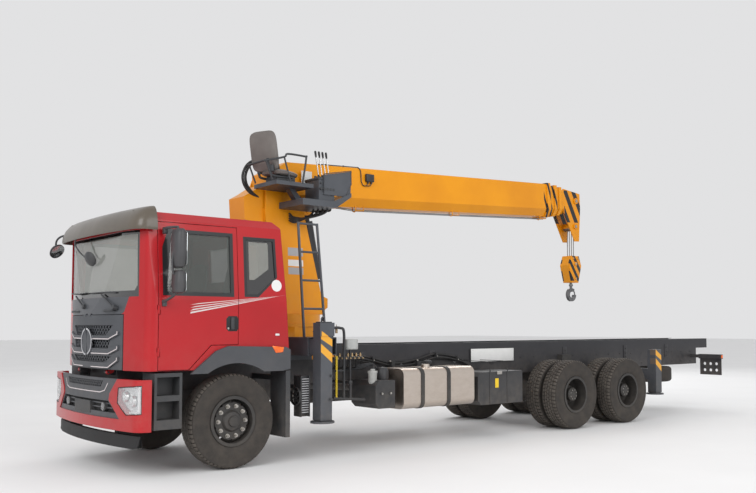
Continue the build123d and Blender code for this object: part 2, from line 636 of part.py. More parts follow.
# doors hinge at their front edge; each carries its glass and its two mirrors
for side, name in ((1, "left"), (-1, "right")):
    door_y_span = mirrored_span(side, cab_side_y - 150, cab_side_y + 10)
    with BuildPart() as door:
        add(cab_outer)
        add(cab_door_inner, mode=Mode.SUBTRACT)
        side_profile(door_outline(0), door_y_span, mode=Mode.INTERSECT)
        side_profile(door_window, door_y_span, mode=Mode.SUBTRACT)
        with Locations(Plane(origin=(front_axle_x, 0, axle_z), z_dir=(0, 1, 0))):
            Cylinder(arch_radius + panel_gap, 3 * cab_side_y, mode=Mode.SUBTRACT)
        for hinge_z in door_hinge_zs:
            hinge_base = (ahead(door_front), side * cab_side_y)
            round_bar((*hinge_base, hinge_z - hinge_length - moving_gap), (*hinge_base, hinge_z), hinge_radius + moving_gap,
                      mode=Mode.SUBTRACT)
            round_bar((*hinge_base, hinge_z), (*hinge_base, hinge_z + hinge_length), hinge_radius)
            round_bar((*hinge_base, hinge_z), (*hinge_base, hinge_z + hinge_length), hinge_pin_radius + shaft_fit,
                      mode=Mode.SUBTRACT)
    door.part.label = f"door_{name}"
    export_step(door.part, f"parts/door_{name}.step")
    with BuildPart() as door_glass:
        add(glass_sheet(None, door_y_span, None, door_window))
    door_glass.part.label = f"door_glass_{name}"
    export_step(door_glass.part, f"parts/door_glass_{name}.step")
    with BuildPart() as mirrors:
        arm_y = side * (cab_side_y + 195)
        for arm_z, root_z in ((2590, 2560), (1980, 1960)):
            round_bar((ahead(860), side * (cab_side_y - 20), root_z), (ahead(800), arm_y, arm_z), 14)
        round_bar((ahead(800), arm_y, 1960), (ahead(800), arm_y, 2605), 14)
        block((ahead(745), ahead(815)), mirrored_span(side, cab_side_y + 100, cab_side_y + 300), (2180, 2570))
        block((ahead(745), ahead(815)), mirrored_span(side, cab_side_y + 100, cab_side_y + 290), (1900, 2140))
        add(cab_outer, mode=Mode.SUBTRACT)
    mirrors.part.label = f"mirrors_{name}"
    export_step(mirrors.part, f"parts/mirrors_{name}.step")

# front panel with the grille, hinged along its top edge
with BuildPart() as grille_panel:
    add(cab_outer)
    with BuildPart(mode=Mode.PRIVATE) as grille_hollow:
        add(cab_volume(grille_depth))
    add(grille_hollow.part, mode=Mode.SUBTRACT)
    block((ahead(900), ahead(1400)), (-grille_half_width, grille_half_width), (grille_low_z, grille_high_z), mode=Mode.INTERSECT)
    for hinge_y in grille_hinge_ys:
        round_bar((grille_hinge_x, hinge_y - hinge_length - moving_gap, grille_hinge_z), (grille_hinge_x, hinge_y, grille_hinge_z),
                  hinge_radius + moving_gap, mode=Mode.SUBTRACT)
        round_bar((grille_hinge_x, hinge_y, grille_hinge_z), (grille_hinge_x, hinge_y + hinge_length, grille_hinge_z), hinge_radius)
        round_bar((grille_hinge_x, hinge_y, grille_hinge_z), (grille_hinge_x, hinge_y + hinge_length, grille_hinge_z),
                  hinge_pin_radius + shaft_fit, mode=Mode.SUBTRACT)
grille_panel.part.label = "grille_panel"
export_step(grille_panel.part, "parts/grille_panel.step")

# grey trims over the front wheels, outside the cab's skirt
trim_thickness = 34
with BuildPart() as wheel_arches:
    for side in sides:
        side_profile([(ahead(550), 1060), (ahead(250), 1300), (ahead(100), 1352), (behind(640), 1330),
                      (behind(700), 1300), (behind(700), 1080), (behind(600), 1060)],
                     mirrored_span(side, cab_side_y + 0.3, cab_side_y + trim_thickness))
    with Locations(Plane(origin=(front_axle_x, 0, axle_z), z_dir=(0, 1, 0))):
        Cylinder(arch_radius, 3 * cab_side_y, mode=Mode.SUBTRACT)
wheel_arches.part.label = "wheel_arches"
export_step(wheel_arches.part, "parts/wheel_arches.step")

# sun visor round the front of the roof, with brackets of its own thickness
with BuildPart() as roof_visor:
    add(cab_volume(-visor_reach))
    add(cab_volume(-visor_standoff), mode=Mode.SUBTRACT)
    visor_gap = cab_volume(-visor_standoff - 1) - cab_volume(-shaft_fit)
    for foot_y in (-900, -300, 300, 900):
        add(visor_gap & Pos(ahead(1200), foot_y, cab_roof_z) * Box(600, 30, 600))
    block((ahead(935), ahead(1500)), (-1300, 1300), (windscreen_high_z + 20, cab_roof_z + 55), mode=Mode.INTERSECT)
roof_visor.part.label = "roof_visor"
export_step(roof_visor.part, "parts/roof_visor.step")

# seats, dash and steering wheel seen through the glass
with BuildPart() as cab_interior:
    for seat_y in (-520, 520):
        block((behind(350), ahead(150)), (seat_y - 240, seat_y + 240), (cab_floor_z, cab_floor_z + 420))
        side_profile([(behind(350), cab_floor_z + 420), (behind(200), cab_floor_z + 420), (behind(330), cab_floor_z + 1020),
                      (behind(450), cab_floor_z + 1020)], (seat_y - 230, seat_y + 230))
    side_profile([(ahead(680), cab_floor_z + 300), (ahead(780), cab_floor_z), (ahead(960), cab_floor_z),
                  (ahead(960), cab_floor_z + 520), (ahead(760), cab_floor_z + 520)], (-960, 960))
    round_bar((ahead(700), 520, cab_floor_z + 330), (ahead(470), 520, cab_floor_z + 635), 28)
    with Locations(Plane(origin=(ahead(470), 520, cab_floor_z + 635), z_dir=(-220, 0, 290))):
        Cylinder(225, 30)
cab_interior.part.label = "cab_interior"
export_step(cab_interior.part, "parts/cab_interior.step")

# bumper: a deep wrapped beam with a dark bar under it
with BuildPart() as bumper:
    with BuildSketch(Plane.XY.offset(bumper_low_z)):
        with BuildLine():
            front_arc = ThreePointArc((ahead(1150), bumper_half_width - 70), (ahead(bumper_nose), 0),
                                      (ahead(1150), -bumper_half_width + 70))
            far_corner = ThreePointArc(front_arc @ 1, (ahead(1100), -bumper_half_width + 20),
                                       (ahead(bumper_corner_ahead), -bumper_half_width))
            near_corner = ThreePointArc((ahead(bumper_corner_ahead), bumper_half_width), (ahead(1100), bumper_half_width - 20),
                                        front_arc @ 0)
            Polyline(far_corner @ 1, (ahead(bumper_corner_ahead), -bumper_half_width + bumper_wall),
                     (ahead(1080), -bumper_half_width + 2 * bumper_wall), (ahead(1100), -600), (ahead(1100), 600),
                     (ahead(1080), bumper_half_width - 2 * bumper_wall),
                     (ahead(bumper_corner_ahead), bumper_half_width - bumper_wall), near_corner @ 0)
        make_face()
    extrude(amount=bumper_high_z - bumper_low_z)
    # arms back to the frame rails' front ends
    for side in sides:
        block((ahead(frame_front), ahead(1110)), mirrored_span(side, rail_outer_y - rail_flange, rail_outer_y), (860, 1000))
bumper.part.label = "bumper"
export_step(bumper.part, "parts/bumper.step")

# steps below the doors, and flaps behind the front wheels
with BuildPart() as steps:
    for side in sides:
        block((ahead(650), ahead(960)), mirrored_span(side, 900, cab_side_y + 40), (500, 1080))
        for step_z in (600, 850):
            block((ahead(680), ahead(930)), mirrored_span(side, 1020, cab_side_y + 50), (step_z, step_z + 190), mode=Mode.SUBTRACT)
        block((ahead(700), ahead(900)), mirrored_span(side, rail_outer_y, 900), (880, 980))
        block((behind(700), behind(640)), mirrored_span(side, 850, cab_side_y + 30), (300, 1060))
        block((behind(700), behind(640)), mirrored_span(side, rail_outer_y, 850), (940, 1000))
steps.part.label = "steps"
export_step(steps.part, "parts/steps.step")

# fuel tank on the left, with its straps
tank_front = 2450
tank_rear = 3735
tank_low_z = 498
tank_high_z = 1018
tank_inner_y = 560
tank_outer_y = 1150
strap_backs = (2780, 3250)
strap_width = 60
strap_thickness = 8
with BuildPart() as fuel_tank:
    with BuildSketch(Plane.YZ.offset(behind(tank_rear))):
        with Locations(((tank_inner_y + tank_outer_y) / 2, (tank_low_z + tank_high_z) / 2)):
            RectangleRounded(tank_outer_y - tank_inner_y, tank_high_z - tank_low_z, 90)
    extrude(amount=tank_rear - tank_front)
    with Locations((behind(2960), 1000, tank_high_z + 15)):
        Cylinder(55, 60)
fuel_tank.part.label = "fuel_tank"
export_step(fuel_tank.part, "parts/fuel_tank.step")

with BuildPart() as tank_straps:
    for back in strap_backs:
        with BuildSketch(Plane.YZ.offset(behind(back) - strap_width / 2)):
            with Locations(((tank_inner_y + tank_outer_y) / 2, (tank_low_z + tank_high_z) / 2)):
                RectangleRounded(tank_outer_y - tank_inner_y + 2 * strap_thickness + 0.6,
                                 tank_high_z - tank_low_z + 2 * strap_thickness + 0.6, 90 + strap_thickness)
                RectangleRounded(tank_outer_y - tank_inner_y + 0.6, tank_high_z - tank_low_z + 0.6, 90.3,
                                 mode=Mode.SUBTRACT)
        extrude(amount=strap_width)
        block((behind(back) - strap_width / 2, behind(back) + strap_width / 2),
              (rail_outer_y, tank_inner_y - strap_thickness - 0.3), (tank_low_z + 120, rail_high_z - 60))
tank_straps.part.label = "tank_straps"
export_step(tank_straps.part, "parts/tank_straps.step")

# boxes hung on the rails: battery and tool boxes on the left, exhaust box and air tanks on the right
with BuildPart() as side_boxes:
    # front_back, rear_back, inner y, outer y, low z, high z, side
    for front_back, rear_back, inner_y, outer_y, low_z, high_z, side in (
            (2010, 2330, 620, 1120, 530, 880, 1), (3820, 4740, 620, 1140, 470, 925, 1),
            (2050, 3050, 600, 1150, 480, 980, -1)):
        side_profile([(behind(front_back), high_z - 60), (behind(front_back + 60), high_z), (behind(rear_back), high_z),
                      (behind(rear_back), low_z), (behind(front_back + 60), low_z), (behind(front_back), low_z + 60)],
                     mirrored_span(side, inner_y, outer_y))
        block((behind(rear_back - 60), behind(front_back + 80)), mirrored_span(side, rail_outer_y, inner_y),
              (rail_low_z + 30, high_z - 70))
    for tank_z, tank_y in ((1000, -640), (640, -640)):
        round_bar((behind(4300), tank_y, tank_z - 60), (behind(3300), tank_y, tank_z - 60), 130)
    for bracket_back in (3500, 4100):
        block((behind(bracket_back) - 30, behind(bracket_back) + 30), (-640, -rail_outer_y), (580, 940))
side_boxes.part.label = "side_boxes"
export_step(side_boxes.part, "parts/side_boxes.step")

# spare wheel laid flat under the rear frame, on a plate hung from it
spare_back = member_first + 7 * member_pitch
spare_mid_z = 668
with BuildPart() as spare_wheel:
    with Locations((behind(spare_back), 0, spare_mid_z)):
        Cylinder(tyre_radius, 2 * tyre_half_width)
        Cylinder(bead_radius, 2 * tyre_half_width, mode=Mode.SUBTRACT)
        Cylinder(bead_radius, 60)
    fillet(spare_wheel.edges().filter_by(GeomType.CIRCLE).filter_by(lambda e: e.radius > tyre_radius - 1), 60)
    block((behind(spare_back) - 60, behind(spare_back) + 60), (-60, 60), (spare_mid_z - 30, frame_mid_z - member_depth / 2))
spare_wheel.part.label = "spare_wheel"
export_step(spare_wheel.part, "parts/spare_wheel.step")

# tail lamp boxes over plates with round holes, each on an arm from the rail
lamp_behind = 10500
with BuildPart() as tail_lamps:
    for side in sides:
        block((behind(lamp_behind + 40), behind(lamp_behind - 40)), mirrored_span(side, 600, 1060), (945, 1030))
        block((behind(lamp_behind + 6), behind(lamp_behind - 6)), mirrored_span(side, 610, 1050), (640, 945))
        with BuildSketch(Plane.YZ.offset(behind(lamp_behind + 20))):
            with Locations((side * 830, 790)):
                with GridLocations(120, 120, 3, 2):
                    Circle(28)
        extrude(amount=40, mode=Mode.SUBTRACT)
        block((behind(lamp_behind + 40), behind(lamp_behind - 40)), mirrored_span(side, rail_outer_y, 600), (960, 1020))
tail_lamps.part.label = "tail_lamps"
export_step(tail_lamps.part, "parts/tail_lamps.step")

# outrigger sleeves: the front one has two cells side by side, the rear one hangs under the rails
left_cell_x = behind(front_leg_behind)
right_cell_x = behind(front_leg_behind + front_leg_stagger)
cell_x = {1: left_cell_x, -1: right_cell_x}
beam_gap = 6
sleeve_inner_width = front_beam_width + 2 * beam_gap
sleeve_high_z = front_beam_low_z + front_beam_height + beam_gap + front_sleeve_wall
sleeve_low_z = front_beam_low_z - shaft_fit - front_sleeve_wall
sleeve_front_x = left_cell_x + sleeve_inner_width / 2 + front_sleeve_wall
sleeve_rear_x = right_cell_x - sleeve_inner_width / 2 - front_sleeve_wall
rear_leg_x = behind(rear_leg_behind)
with BuildPart() as outrigger_boxes:
    block((sleeve_rear_x, sleeve_front_x), (-front_sleeve_half, front_sleeve_half), (sleeve_low_z, sleeve_high_z))
    for side in sides:
        block((cell_x[side] - sleeve_inner_width / 2, cell_x[side] + sleeve_inner_width / 2),
              (-front_sleeve_half, front_sleeve_half),
              (sleeve_low_z + front_sleeve_wall, sleeve_high_z - front_sleeve_wall), mode=Mode.SUBTRACT)
        # feet down to the chassis rail
        block((sleeve_rear_x, sleeve_front_x), mirrored_span(side, rail_outer_y - 70, rail_outer_y), (rail_high_z, sleeve_low_z))
    # the rear cross box with a leg tube welded to each end
    block((rear_leg_x - leg_width / 2, rear_leg_x + leg_width / 2), (-leg_outer_y, leg_outer_y),
          (rail_low_z - rear_box_height, rail_low_z))
    for side in sides:
        block((rear_leg_x - leg_width / 2, rear_leg_x + leg_width / 2), mirrored_span(side, leg_outer_y - leg_width, leg_outer_y),
              (rear_leg_low_z, rear_leg_high_z))
        block((rear_leg_x - leg_width / 2 + leg_wall, rear_leg_x + leg_width / 2 - leg_wall),
              mirrored_span(side, leg_outer_y - leg_width + leg_wall, leg_outer_y - leg_wall),
              (rear_leg_low_z, rear_leg_high_z - leg_wall), mode=Mode.SUBTRACT)
outrigger_boxes.part.label = "outrigger_boxes"
export_step(outrigger_boxes.part, "parts/outrigger_boxes.step")

# front outrigger beams, each with its leg tube, and the four jacks that stand in the tubes
for side, name in ((1, "left"), (-1, "right")):
    leg_x = cell_x[side]
    with BuildPart() as front_beam:
        block((leg_x - front_beam_width / 2, leg_x + front_beam_width / 2), mirrored_span(side, -front_sleeve_half + 60, leg_outer_y - leg_width),
              (front_beam_low_z, front_beam_low_z + front_beam_height))
        block((leg_x - leg_width / 2, leg_x + leg_width / 2), mirrored_span(side, leg_outer_y - leg_width, leg_outer_y),
              (front_leg_low_z, front_leg_high_z))
        block((leg_x - leg_width / 2 + leg_wall, leg_x + leg_width / 2 - leg_wall),
              mirrored_span(side, leg_outer_y - leg_width + leg_wall, leg_outer_y - leg_wall),
              (front_leg_low_z, front_leg_high_z - leg_wall), mode=Mode.SUBTRACT)
        block((leg_x - leg_width / 2 - 22, leg_x + leg_width / 2 + 22), mirrored_span(side, leg_outer_y, leg_outer_y + 14),
              (front_leg_high_z - 160, front_leg_high_z))
    front_beam.part.label = f"front_beam_{name}"
    export_step(front_beam.part, f"parts/front_beam_{name}.step")

leg_mid_y = leg_outer_y - leg_width / 2
# name, x, side, low end of the tube, high end of the tube
jack_table = (("front_jack_left", cell_x[1], 1, front_leg_low_z, front_leg_high_z),
              ("front_jack_right", cell_x[-1], -1, front_leg_low_z, front_leg_high_z),
              ("rear_jack_left", rear_leg_x, 1, rear_leg_low_z, rear_leg_high_z),
              ("rear_jack_right", rear_leg_x, -1, rear_leg_low_z, rear_leg_high_z))
for name, jack_x, side, low_z, high_z in jack_table:
    with BuildPart() as jack:
        block((jack_x - jack_width / 2, jack_x + jack_width / 2),
              (side * leg_mid_y - jack_width / 2, side * leg_mid_y + jack_width / 2), (low_z - 12, high_z - 80))
        head_half = leg_width / 2 - leg_wall - shaft_fit
        block((jack_x - head_half, jack_x + head_half), (side * leg_mid_y - head_half, side * leg_mid_y + head_half),
              (high_z - 160, high_z - 80))
        with Locations((jack_x, side * leg_mid_y, low_z - 12 - foot_thickness / 2)):
            Cylinder(foot_width / 2, foot_thickness)
    jack.part.label = name
    export_step(jack.part, f"parts/{name}.step")

# crane base: a welded pedestal from the rails up to the slewing ring, notched for the sleeve
slew_x = behind(slew_behind)
base_half_length = 460
with BuildPart() as crane_base:
    with BuildSketch(Plane.XY.offset(rail_high_z)):
        with Locations((slew_x, 0)):
            Rectangle(2 * base_half_length, 2 * rail_outer_y)
    with BuildSketch(Plane.XY.offset(crane_base_high_z - 40)):
        with Locations((slew_x, 0)):
            RegularPolygon(slew_ring_radius + 35, 8, rotation=22.5)
    loft()
    with BuildSketch(Plane.XY.offset(crane_base_high_z - 40)):
        with Locations((slew_x, 0)):
            Circle(slew_ring_radius + 20)
    extrude(amount=40)
    block((sleeve_rear_x, sleeve_front_x), (-1000, 1000), (rail_high_z - 1, sleeve_high_z), mode=Mode.SUBTRACT)
crane_base.part.label = "crane_base"
export_step(crane_base.part, "parts/crane_base.step")

# ladder up to the operator's seat, standing on the front sleeve
ladder_y = 750
rung_count = 4
with BuildPart() as ladder:
    # foot x, head x of each stringer
    stringers = ((behind(1180), behind(1080)), (behind(1500), behind(1360)))
    for foot_x, head_x in stringers:
        round_bar((foot_x, ladder_y, sleeve_high_z), (head_x, ladder_y, 2850), 17)
    for rung in range(rung_count):
        share = (rung + 1) / rung_count
        rung_z = sleeve_high_z + share * (2835 - sleeve_high_z)
        start_x = stringers[0][0] + share * (stringers[0][1] - stringers[0][0])
        end_x = stringers[1][0] + share * (stringers[1][1] - stringers[1][0])
        round_bar((start_x, ladder_y, rung_z), (end_x, ladder_y, rung_z), 14)
    block((behind(1700), behind(900)), (ladder_y - 100, ladder_y + 100), (sleeve_high_z - 50, sleeve_high_z), mode=Mode.SUBTRACT)
ladder.part.label = "ladder"
export_step(ladder.part, "parts/ladder.step")

# slewing column: turntable, tapered box, cheeks for the boom's foot pin and ears for the luffing rod
pivot_x = behind(boom_pivot_behind)
cheek_inner_y = boom_width / 2 + moving_gap
luff_low_x = behind(luff_low_behind)
ear_inner_y = 62
ear_outer_y = 90
with BuildPart() as slew_column:
    with Locations((slew_x, 0, (turntable_low_z + column_low_z) / 2)):
        Cylinder(slew_ring_radius, column_low_z - turntable_low_z)
    with BuildSketch(Plane.XY.offset(column_low_z)):
        with Locations((slew_x, 0)):
            Rectangle(760, 620)
    with BuildSketch(Plane.XY.offset(column_high_z)):
        with Locations((behind(1215), 0)):
            Rectangle(590, 2 * (cheek_inner_y + cheek_thickness))
    loft()
    # winch housing at the head of the column, over the cab's back
    side_profile([(behind(960), 2860), (behind(660), 2900), (behind(640), 3190), (behind(760), 3260), (behind(905), 3060 + 300),
                  (behind(960), 3300)], (-185, 185))
    for side in sides:
        side_profile([(behind(1510), 2900), (behind(930), 2900), (behind(930), 3300), (behind(1000), 3480),
                      (behind(1100), 3560), (behind(1210), 3560), (behind(1330), 3460), (behind(1510), 3060)],
                     mirrored_span(side, cheek_inner_y, cheek_inner_y + cheek_thickness))
        side_profile([(luff_low_x - 80, luff_low_z - 60), (luff_low_x - 80, luff_low_z + 60), (luff_low_x + 80, luff_low_z + 120),
                      (luff_low_x + 190, luff_low_z + 120), (luff_low_x + 190, luff_low_z - 120), (luff_low_x, luff_low_z - 120)],
                     mirrored_span(side, ear_inner_y, ear_outer_y))
    round_bar((pivot_x, -cheek_inner_y - cheek_thickness - 18, boom_pivot_z),
              (pivot_x, cheek_inner_y + cheek_thickness + 18, boom_pivot_z), boom_pin_radius)
slew_column.part.label = "slew_column"
export_step(slew_column.part, "parts/slew_column.step")

# boom: four sections slide in one another along a line that rises a little to the rear
boom_line = Vector(-cos(radians(boom_slope)), 0, sin(radians(boom_slope)))
boom_up = Vector(sin(radians(boom_slope)), 0, cos(radians(boom_slope)))
boom_pivot = Vector(pivot_x, 0, boom_pivot_z)


def boom_plane(along):
    """A plane across the boom at this distance from its foot pin."""
    return Plane(origin=boom_pivot + boom_line * along, x_dir=(0, -1, 0), z_dir=boom_line)


def boom_side_plane(y):
    """A plane along the boom, x along it from the foot pin and y up from its middle."""
    return Plane(origin=boom_pivot + Vector(0, y, 0), x_dir=boom_line, z_dir=(0, 1, 0))


def boom_section(start, end, width, height, wall):
    """A box tube with folded lower corners."""
    for inset, mode in ((0, Mode.ADD), (wall, Mode.SUBTRACT)):
        half = width / 2 - inset
        top = height / 2 - inset
        with BuildSketch(boom_plane(start)) as section:
            with BuildLine():
                Polyline((-half, top), (half, top), (half, -top + 0.22 * height), (half - 0.2 * width, -top),
                         (-half + 0.2 * width, -top), (-half, -top + 0.22 * height), close=True)
            make_face()
        extrude(section.sketch, amount=end - start, mode=mode)


def boom_plate(points, y_span, mode=Mode.ADD):
    """A plate drawn in the boom's own side view, (along, up) from the foot pin."""
    with BuildSketch(boom_side_plane(min(y_span))) as outline:
        with BuildLine():
            Polyline(*points, close=True)
        make_face()
    extrude(outline.sketch, amount=abs(y_span[1] - y_span[0]), mode=mode)


def wear_pads(start, width, height):
    """Pads round a section's inner end, which run inside the section outside it."""
    pad = boom_step - boom_wall - shaft_fit
    for across, rise, pad_width, pad_height in ((0, height / 2 + pad / 2, 0.5 * width, pad), (0, -height / 2 - pad / 2, 0.5 * width, pad),
                                                (width / 2 + pad / 2, 0, pad, 0.4 * height), (-width / 2 - pad / 2, 0, pad, 0.4 * height)):
        with BuildSketch(boom_plane(start)) as section:
            with Locations((across, rise)):
                Rectangle(pad_width, pad_height)
        extrude(section.sketch, amount=160)


base_end = 5407
with BuildPart() as boom_base:
    boom_section(boom_start, base_end, boom_width, boom_height, boom_wall)
    boom_plate([(boom_start, boom_height / 2), (20, boom_height / 2 - 60), (-160, 120), (-160, -90), (-60, -200),
                (boom_start, -boom_height / 2 + 0.22 * boom_height)], (-boom_width / 2, boom_width / 2))
    # end collar with its lifting ears
    boom_section(base_end - 90, base_end, boom_width + 36, boom_height + 36, boom_wall + 18)
    # lugs for the luffing cylinder under the boom
    for side in sides:
        boom_plate([(luff_high_along - 110, -boom_height / 2 + 4), (luff_high_along - 58, -luff_high_drop - 55),
                    (luff_high_along + 58, -luff_high_drop - 55), (luff_high_along + 140, -boom_height / 2 + 4)],
                   mirrored_span(side, ear_inner_y, ear_outer_y))
    luff_high = boom_pivot + boom_line * luff_high_along - boom_up * luff_high_drop
    round_bar((luff_high.X, -ear_outer_y - 12, luff_high.Z), (luff_high.X, ear_outer_y + 12, luff_high.Z), luff_pin_radius)
    round_bar((pivot_x, -boom_width / 2, boom_pivot_z), (pivot_x, boom_width / 2, boom_pivot_z),
              boom_pin_radius + shaft_fit, mode=Mode.SUBTRACT)
boom_base.part.label = "boom_base"
export_step(boom_base.part, "parts/boom_base.step")

# number, how far its outer end stands past the base's end
for number, reach in ((2, 200), (3, 350)):
    shrink = 2 * boom_step * (number - 1)
    with BuildPart() as boom_tube:
        boom_section(boom_start + 250 + 60 * number, base_end + reach, boom_width - shrink, boom_height - shrink, boom_wall)
        wear_pads(boom_start + 250 + 60 * number, boom_width - shrink, boom_height - shrink)
        boom_section(base_end + reach - 70, base_end + reach, boom_width - shrink + 30, boom_height - shrink + 30, boom_wall + 15)
    boom_tube.part.label = f"boom_{number}"
    export_step(boom_tube.part, f"parts/boom_{number}.step")

# last section with the head: plates down to the rope pin
head_start = base_end + 440
hook_along = 6170
hook_drop = 430
head_plate_y = 118
with BuildPart() as boom_4:
    shrink = 2 * boom_step * 3
    boom_section(boom_start + 490, head_start + 60, boom_width - shrink, boom_height - shrink, boom_wall)
    wear_pads(boom_start + 490, boom_width - shrink, boom_height - shrink)
    for side in sides:
        boom_plate([(head_start, (boom_height - shrink) / 2 + 20), (hook_along + 130, 150), (hook_along + 130, -120),
                    (hook_along + 60, -hook_drop - 260), (hook_along - 60, -hook_drop - 260), (head_start + 60, -300),
                    (head_start, -(boom_height - shrink) / 2 + 20)], mirrored_span(side, head_plate_y, head_plate_y + 16))
    hook_pin = boom_pivot + boom_line * hook_along - boom_up * hook_drop
    round_bar((hook_pin.X, -head_plate_y - 30, hook_pin.Z), (hook_pin.X, head_plate_y + 30, hook_pin.Z), 30)
    head_sheave = boom_pivot + boom_line * hook_along + boom_up * 20
    round_bar((head_sheave.X, -head_plate_y, head_sheave.Z), (head_sheave.X, head_plate_y, head_sheave.Z), 150)
boom_4.part.label = "boom_4"
export_step(boom_4.part, "parts/boom_4.step")

# hook block hung on four falls of rope from the head's pin
rope_radius = 7
block_high_z = 2800
block_low_z = 2330
with BuildPart() as hook_block:
    for fall_y in (-66, -22, 22, 66):
        round_bar((hook_pin.X, fall_y, block_high_z - 60), (hook_pin.X, fall_y, hook_pin.Z - 40), rope_radius)
    with Locations(Plane(origin=(hook_pin.X, 0, hook_pin.Z), z_dir=(0, 1, 0))):
        Cylinder(70, 2 * (head_plate_y - moving_gap))
        Cylinder(30 + shaft_fit, 4 * head_plate_y, mode=Mode.SUBTRACT)
    side_profile([(hook_pin.X - 100, block_high_z), (hook_pin.X + 100, block_high_z), (hook_pin.X + 175, block_high_z - 170),
                  (hook_pin.X + 90, block_low_z), (hook_pin.X - 90, block_low_z), (hook_pin.X - 175, block_high_z - 170)],
                 (-95, 95))
    round_bar((hook_pin.X, 0, block_low_z - 1), (hook_pin.X, 0, block_low_z + 60), 24 + shaft_fit, mode=Mode.SUBTRACT)
hook_block.part.label = "hook_block"
export_step(hook_block.part, "parts/hook_block.step")

hook_radius = 78
with BuildPart() as hook:
    round_bar((hook_pin.X, 0, 2215), (hook_pin.X, 0, block_low_z + 55), 24)
    with BuildSketch(Plane.XZ.offset(-24)):
        with Locations((hook_pin.X, 2120)):
            Circle(hook_radius + 38)
            Circle(hook_radius - 22, mode=Mode.SUBTRACT)
    extrude(amount=48)
    block((hook_pin.X - 170, hook_pin.X - 20), (-30, 30), (2120, 2200), mode=Mode.SUBTRACT)
hook.part.label = "hook"
export_step(hook.part, "parts/hook.step")

# luffing cylinder: its barrel is pinned under the boom and its rod points down to the column's ears
luff_vector = Vector(luff_low_x, 0, luff_low_z) - luff_high
luff_line = luff_vector.normalized()
luff_length = luff_vector.length
barrel_length = 0.74 * luff_length
eye_half_width = ear_inner_y - moving_gap
with BuildPart() as luff_barrel:
    barrel_start = luff_high + luff_line * 135
    barrel_end = luff_high + luff_line * barrel_length
    round_bar(tuple(barrel_start), tuple(barrel_end), luff_barrel_radius)
    round_bar(tuple(luff_high + luff_line * 40), tuple(barrel_start), eye_half_width - 4)
    with Locations(Plane(origin=luff_high, z_dir=(0, 1, 0))):
        Cylinder(62, 2 * eye_half_width)
    round_bar((luff_high.X, -200, luff_high.Z), (luff_high.X, 200, luff_high.Z), luff_pin_radius + shaft_fit, mode=Mode.SUBTRACT)
    bore_start = luff_high + luff_line * 170
    round_bar(tuple(bore_start), tuple(barrel_end + luff_line * 5), luff_rod_radius + shaft_fit, mode=Mode.SUBTRACT)
luff_barrel.part.label = "luff_barrel"
export_step(luff_barrel.part, "parts/luff_barrel.step")

with BuildPart() as luff_rod:
    rod_start = luff_high + luff_line * 210
    round_bar(tuple(rod_start), tuple(luff_high + luff_line * (luff_length - 30)), luff_rod_radius)
    with Locations(Plane(origin=(luff_low_x, 0, luff_low_z), z_dir=(0, 1, 0))):
        Cylinder(60, 2 * eye_half_width)
luff_rod.part.label = "luff_rod"
export_step(luff_rod.part, "parts/luff_rod.step")

# operator's stand on the column's left: frame, seat pedestal, valve block and side plate
stand_inner_y = cheek_inner_y + cheek_thickness
with BuildPart() as operator_stand:
    side_profile([(behind(1130), 3070), (behind(1640), 3070), (behind(1880), 3230), (behind(1880), 3280), (behind(1600), 3150),
                  (behind(1130), 3150)], (stand_inner_y, 780))
    side_profile([(behind(1460), 3230), (behind(1880), 3230), (behind(1900), 3570), (behind(1460), 3480)], (735, 755))
    side_profile([(behind(760), 3290), (behind(1300), 3290), (behind(1300), 3340), (behind(760), 3340)], (stand_inner_y, 760))
    side_profile([(behind(1100), 3290), (behind(1180), 3290), (behind(1330), 3140), (behind(1220), 3140)], (420, 520))
    block((behind(1640), behind(1400)), (430, 735), (3150, 3440))
    for lever_back in (1420, 1475, 1530, 1585):
        round_bar((behind(lever_back + 60), 620, 3440), (behind(lever_back), 620, 3790), 7)
operator_stand.part.label = "operator_stand"
export_step(operator_stand.part, "parts/operator_stand.step")

with BuildPart() as operator_seat:
    block((behind(1120), behind(700)), (380, 760), (3340, 3420))
    side_profile([(behind(760), 3420), (behind(860), 3420), (behind(740), 3940), (behind(640), 3940)], (390, 750))
operator_seat.part.label = "operator_seat"
export_step(operator_seat.part, "parts/operator_seat.step")

# cooler, valve station and guard beside the front leg
with BuildPart() as control_station:
    block((behind(1060), behind(930)), (900, 1110), (500, 870))
    block((behind(1060), behind(930)), (rail_outer_y, 900), (820, 870))
control_station.part.label = "control_station"
export_step(control_station.part, "parts/control_station.step")
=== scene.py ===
import math

import bmesh
import bpy
from mathutils import Matrix, Vector


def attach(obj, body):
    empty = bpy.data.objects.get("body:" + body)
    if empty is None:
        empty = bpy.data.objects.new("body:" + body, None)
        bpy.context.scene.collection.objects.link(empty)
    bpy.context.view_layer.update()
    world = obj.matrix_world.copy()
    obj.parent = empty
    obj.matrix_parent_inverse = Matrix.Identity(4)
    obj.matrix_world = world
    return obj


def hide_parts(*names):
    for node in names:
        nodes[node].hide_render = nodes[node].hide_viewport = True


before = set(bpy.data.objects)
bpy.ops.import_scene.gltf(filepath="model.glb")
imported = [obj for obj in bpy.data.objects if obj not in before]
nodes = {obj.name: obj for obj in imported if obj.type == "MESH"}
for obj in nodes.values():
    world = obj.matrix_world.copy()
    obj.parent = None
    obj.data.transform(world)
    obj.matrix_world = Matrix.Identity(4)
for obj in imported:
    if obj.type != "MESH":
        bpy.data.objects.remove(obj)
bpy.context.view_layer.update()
frontAxleX = 4.890      # metres in the frame's own x
print("frame loaded:", len(nodes), "nodes")

# small helpers


def ahead(distance):
    return frontAxleX + distance


def behind(distance):
    return frontAxleX - distance


def newNode(tree, kind, **inputs):
    made = tree.nodes.new(kind)
    for key, value in inputs.items():
        made.inputs[key].default_value = value
    return made


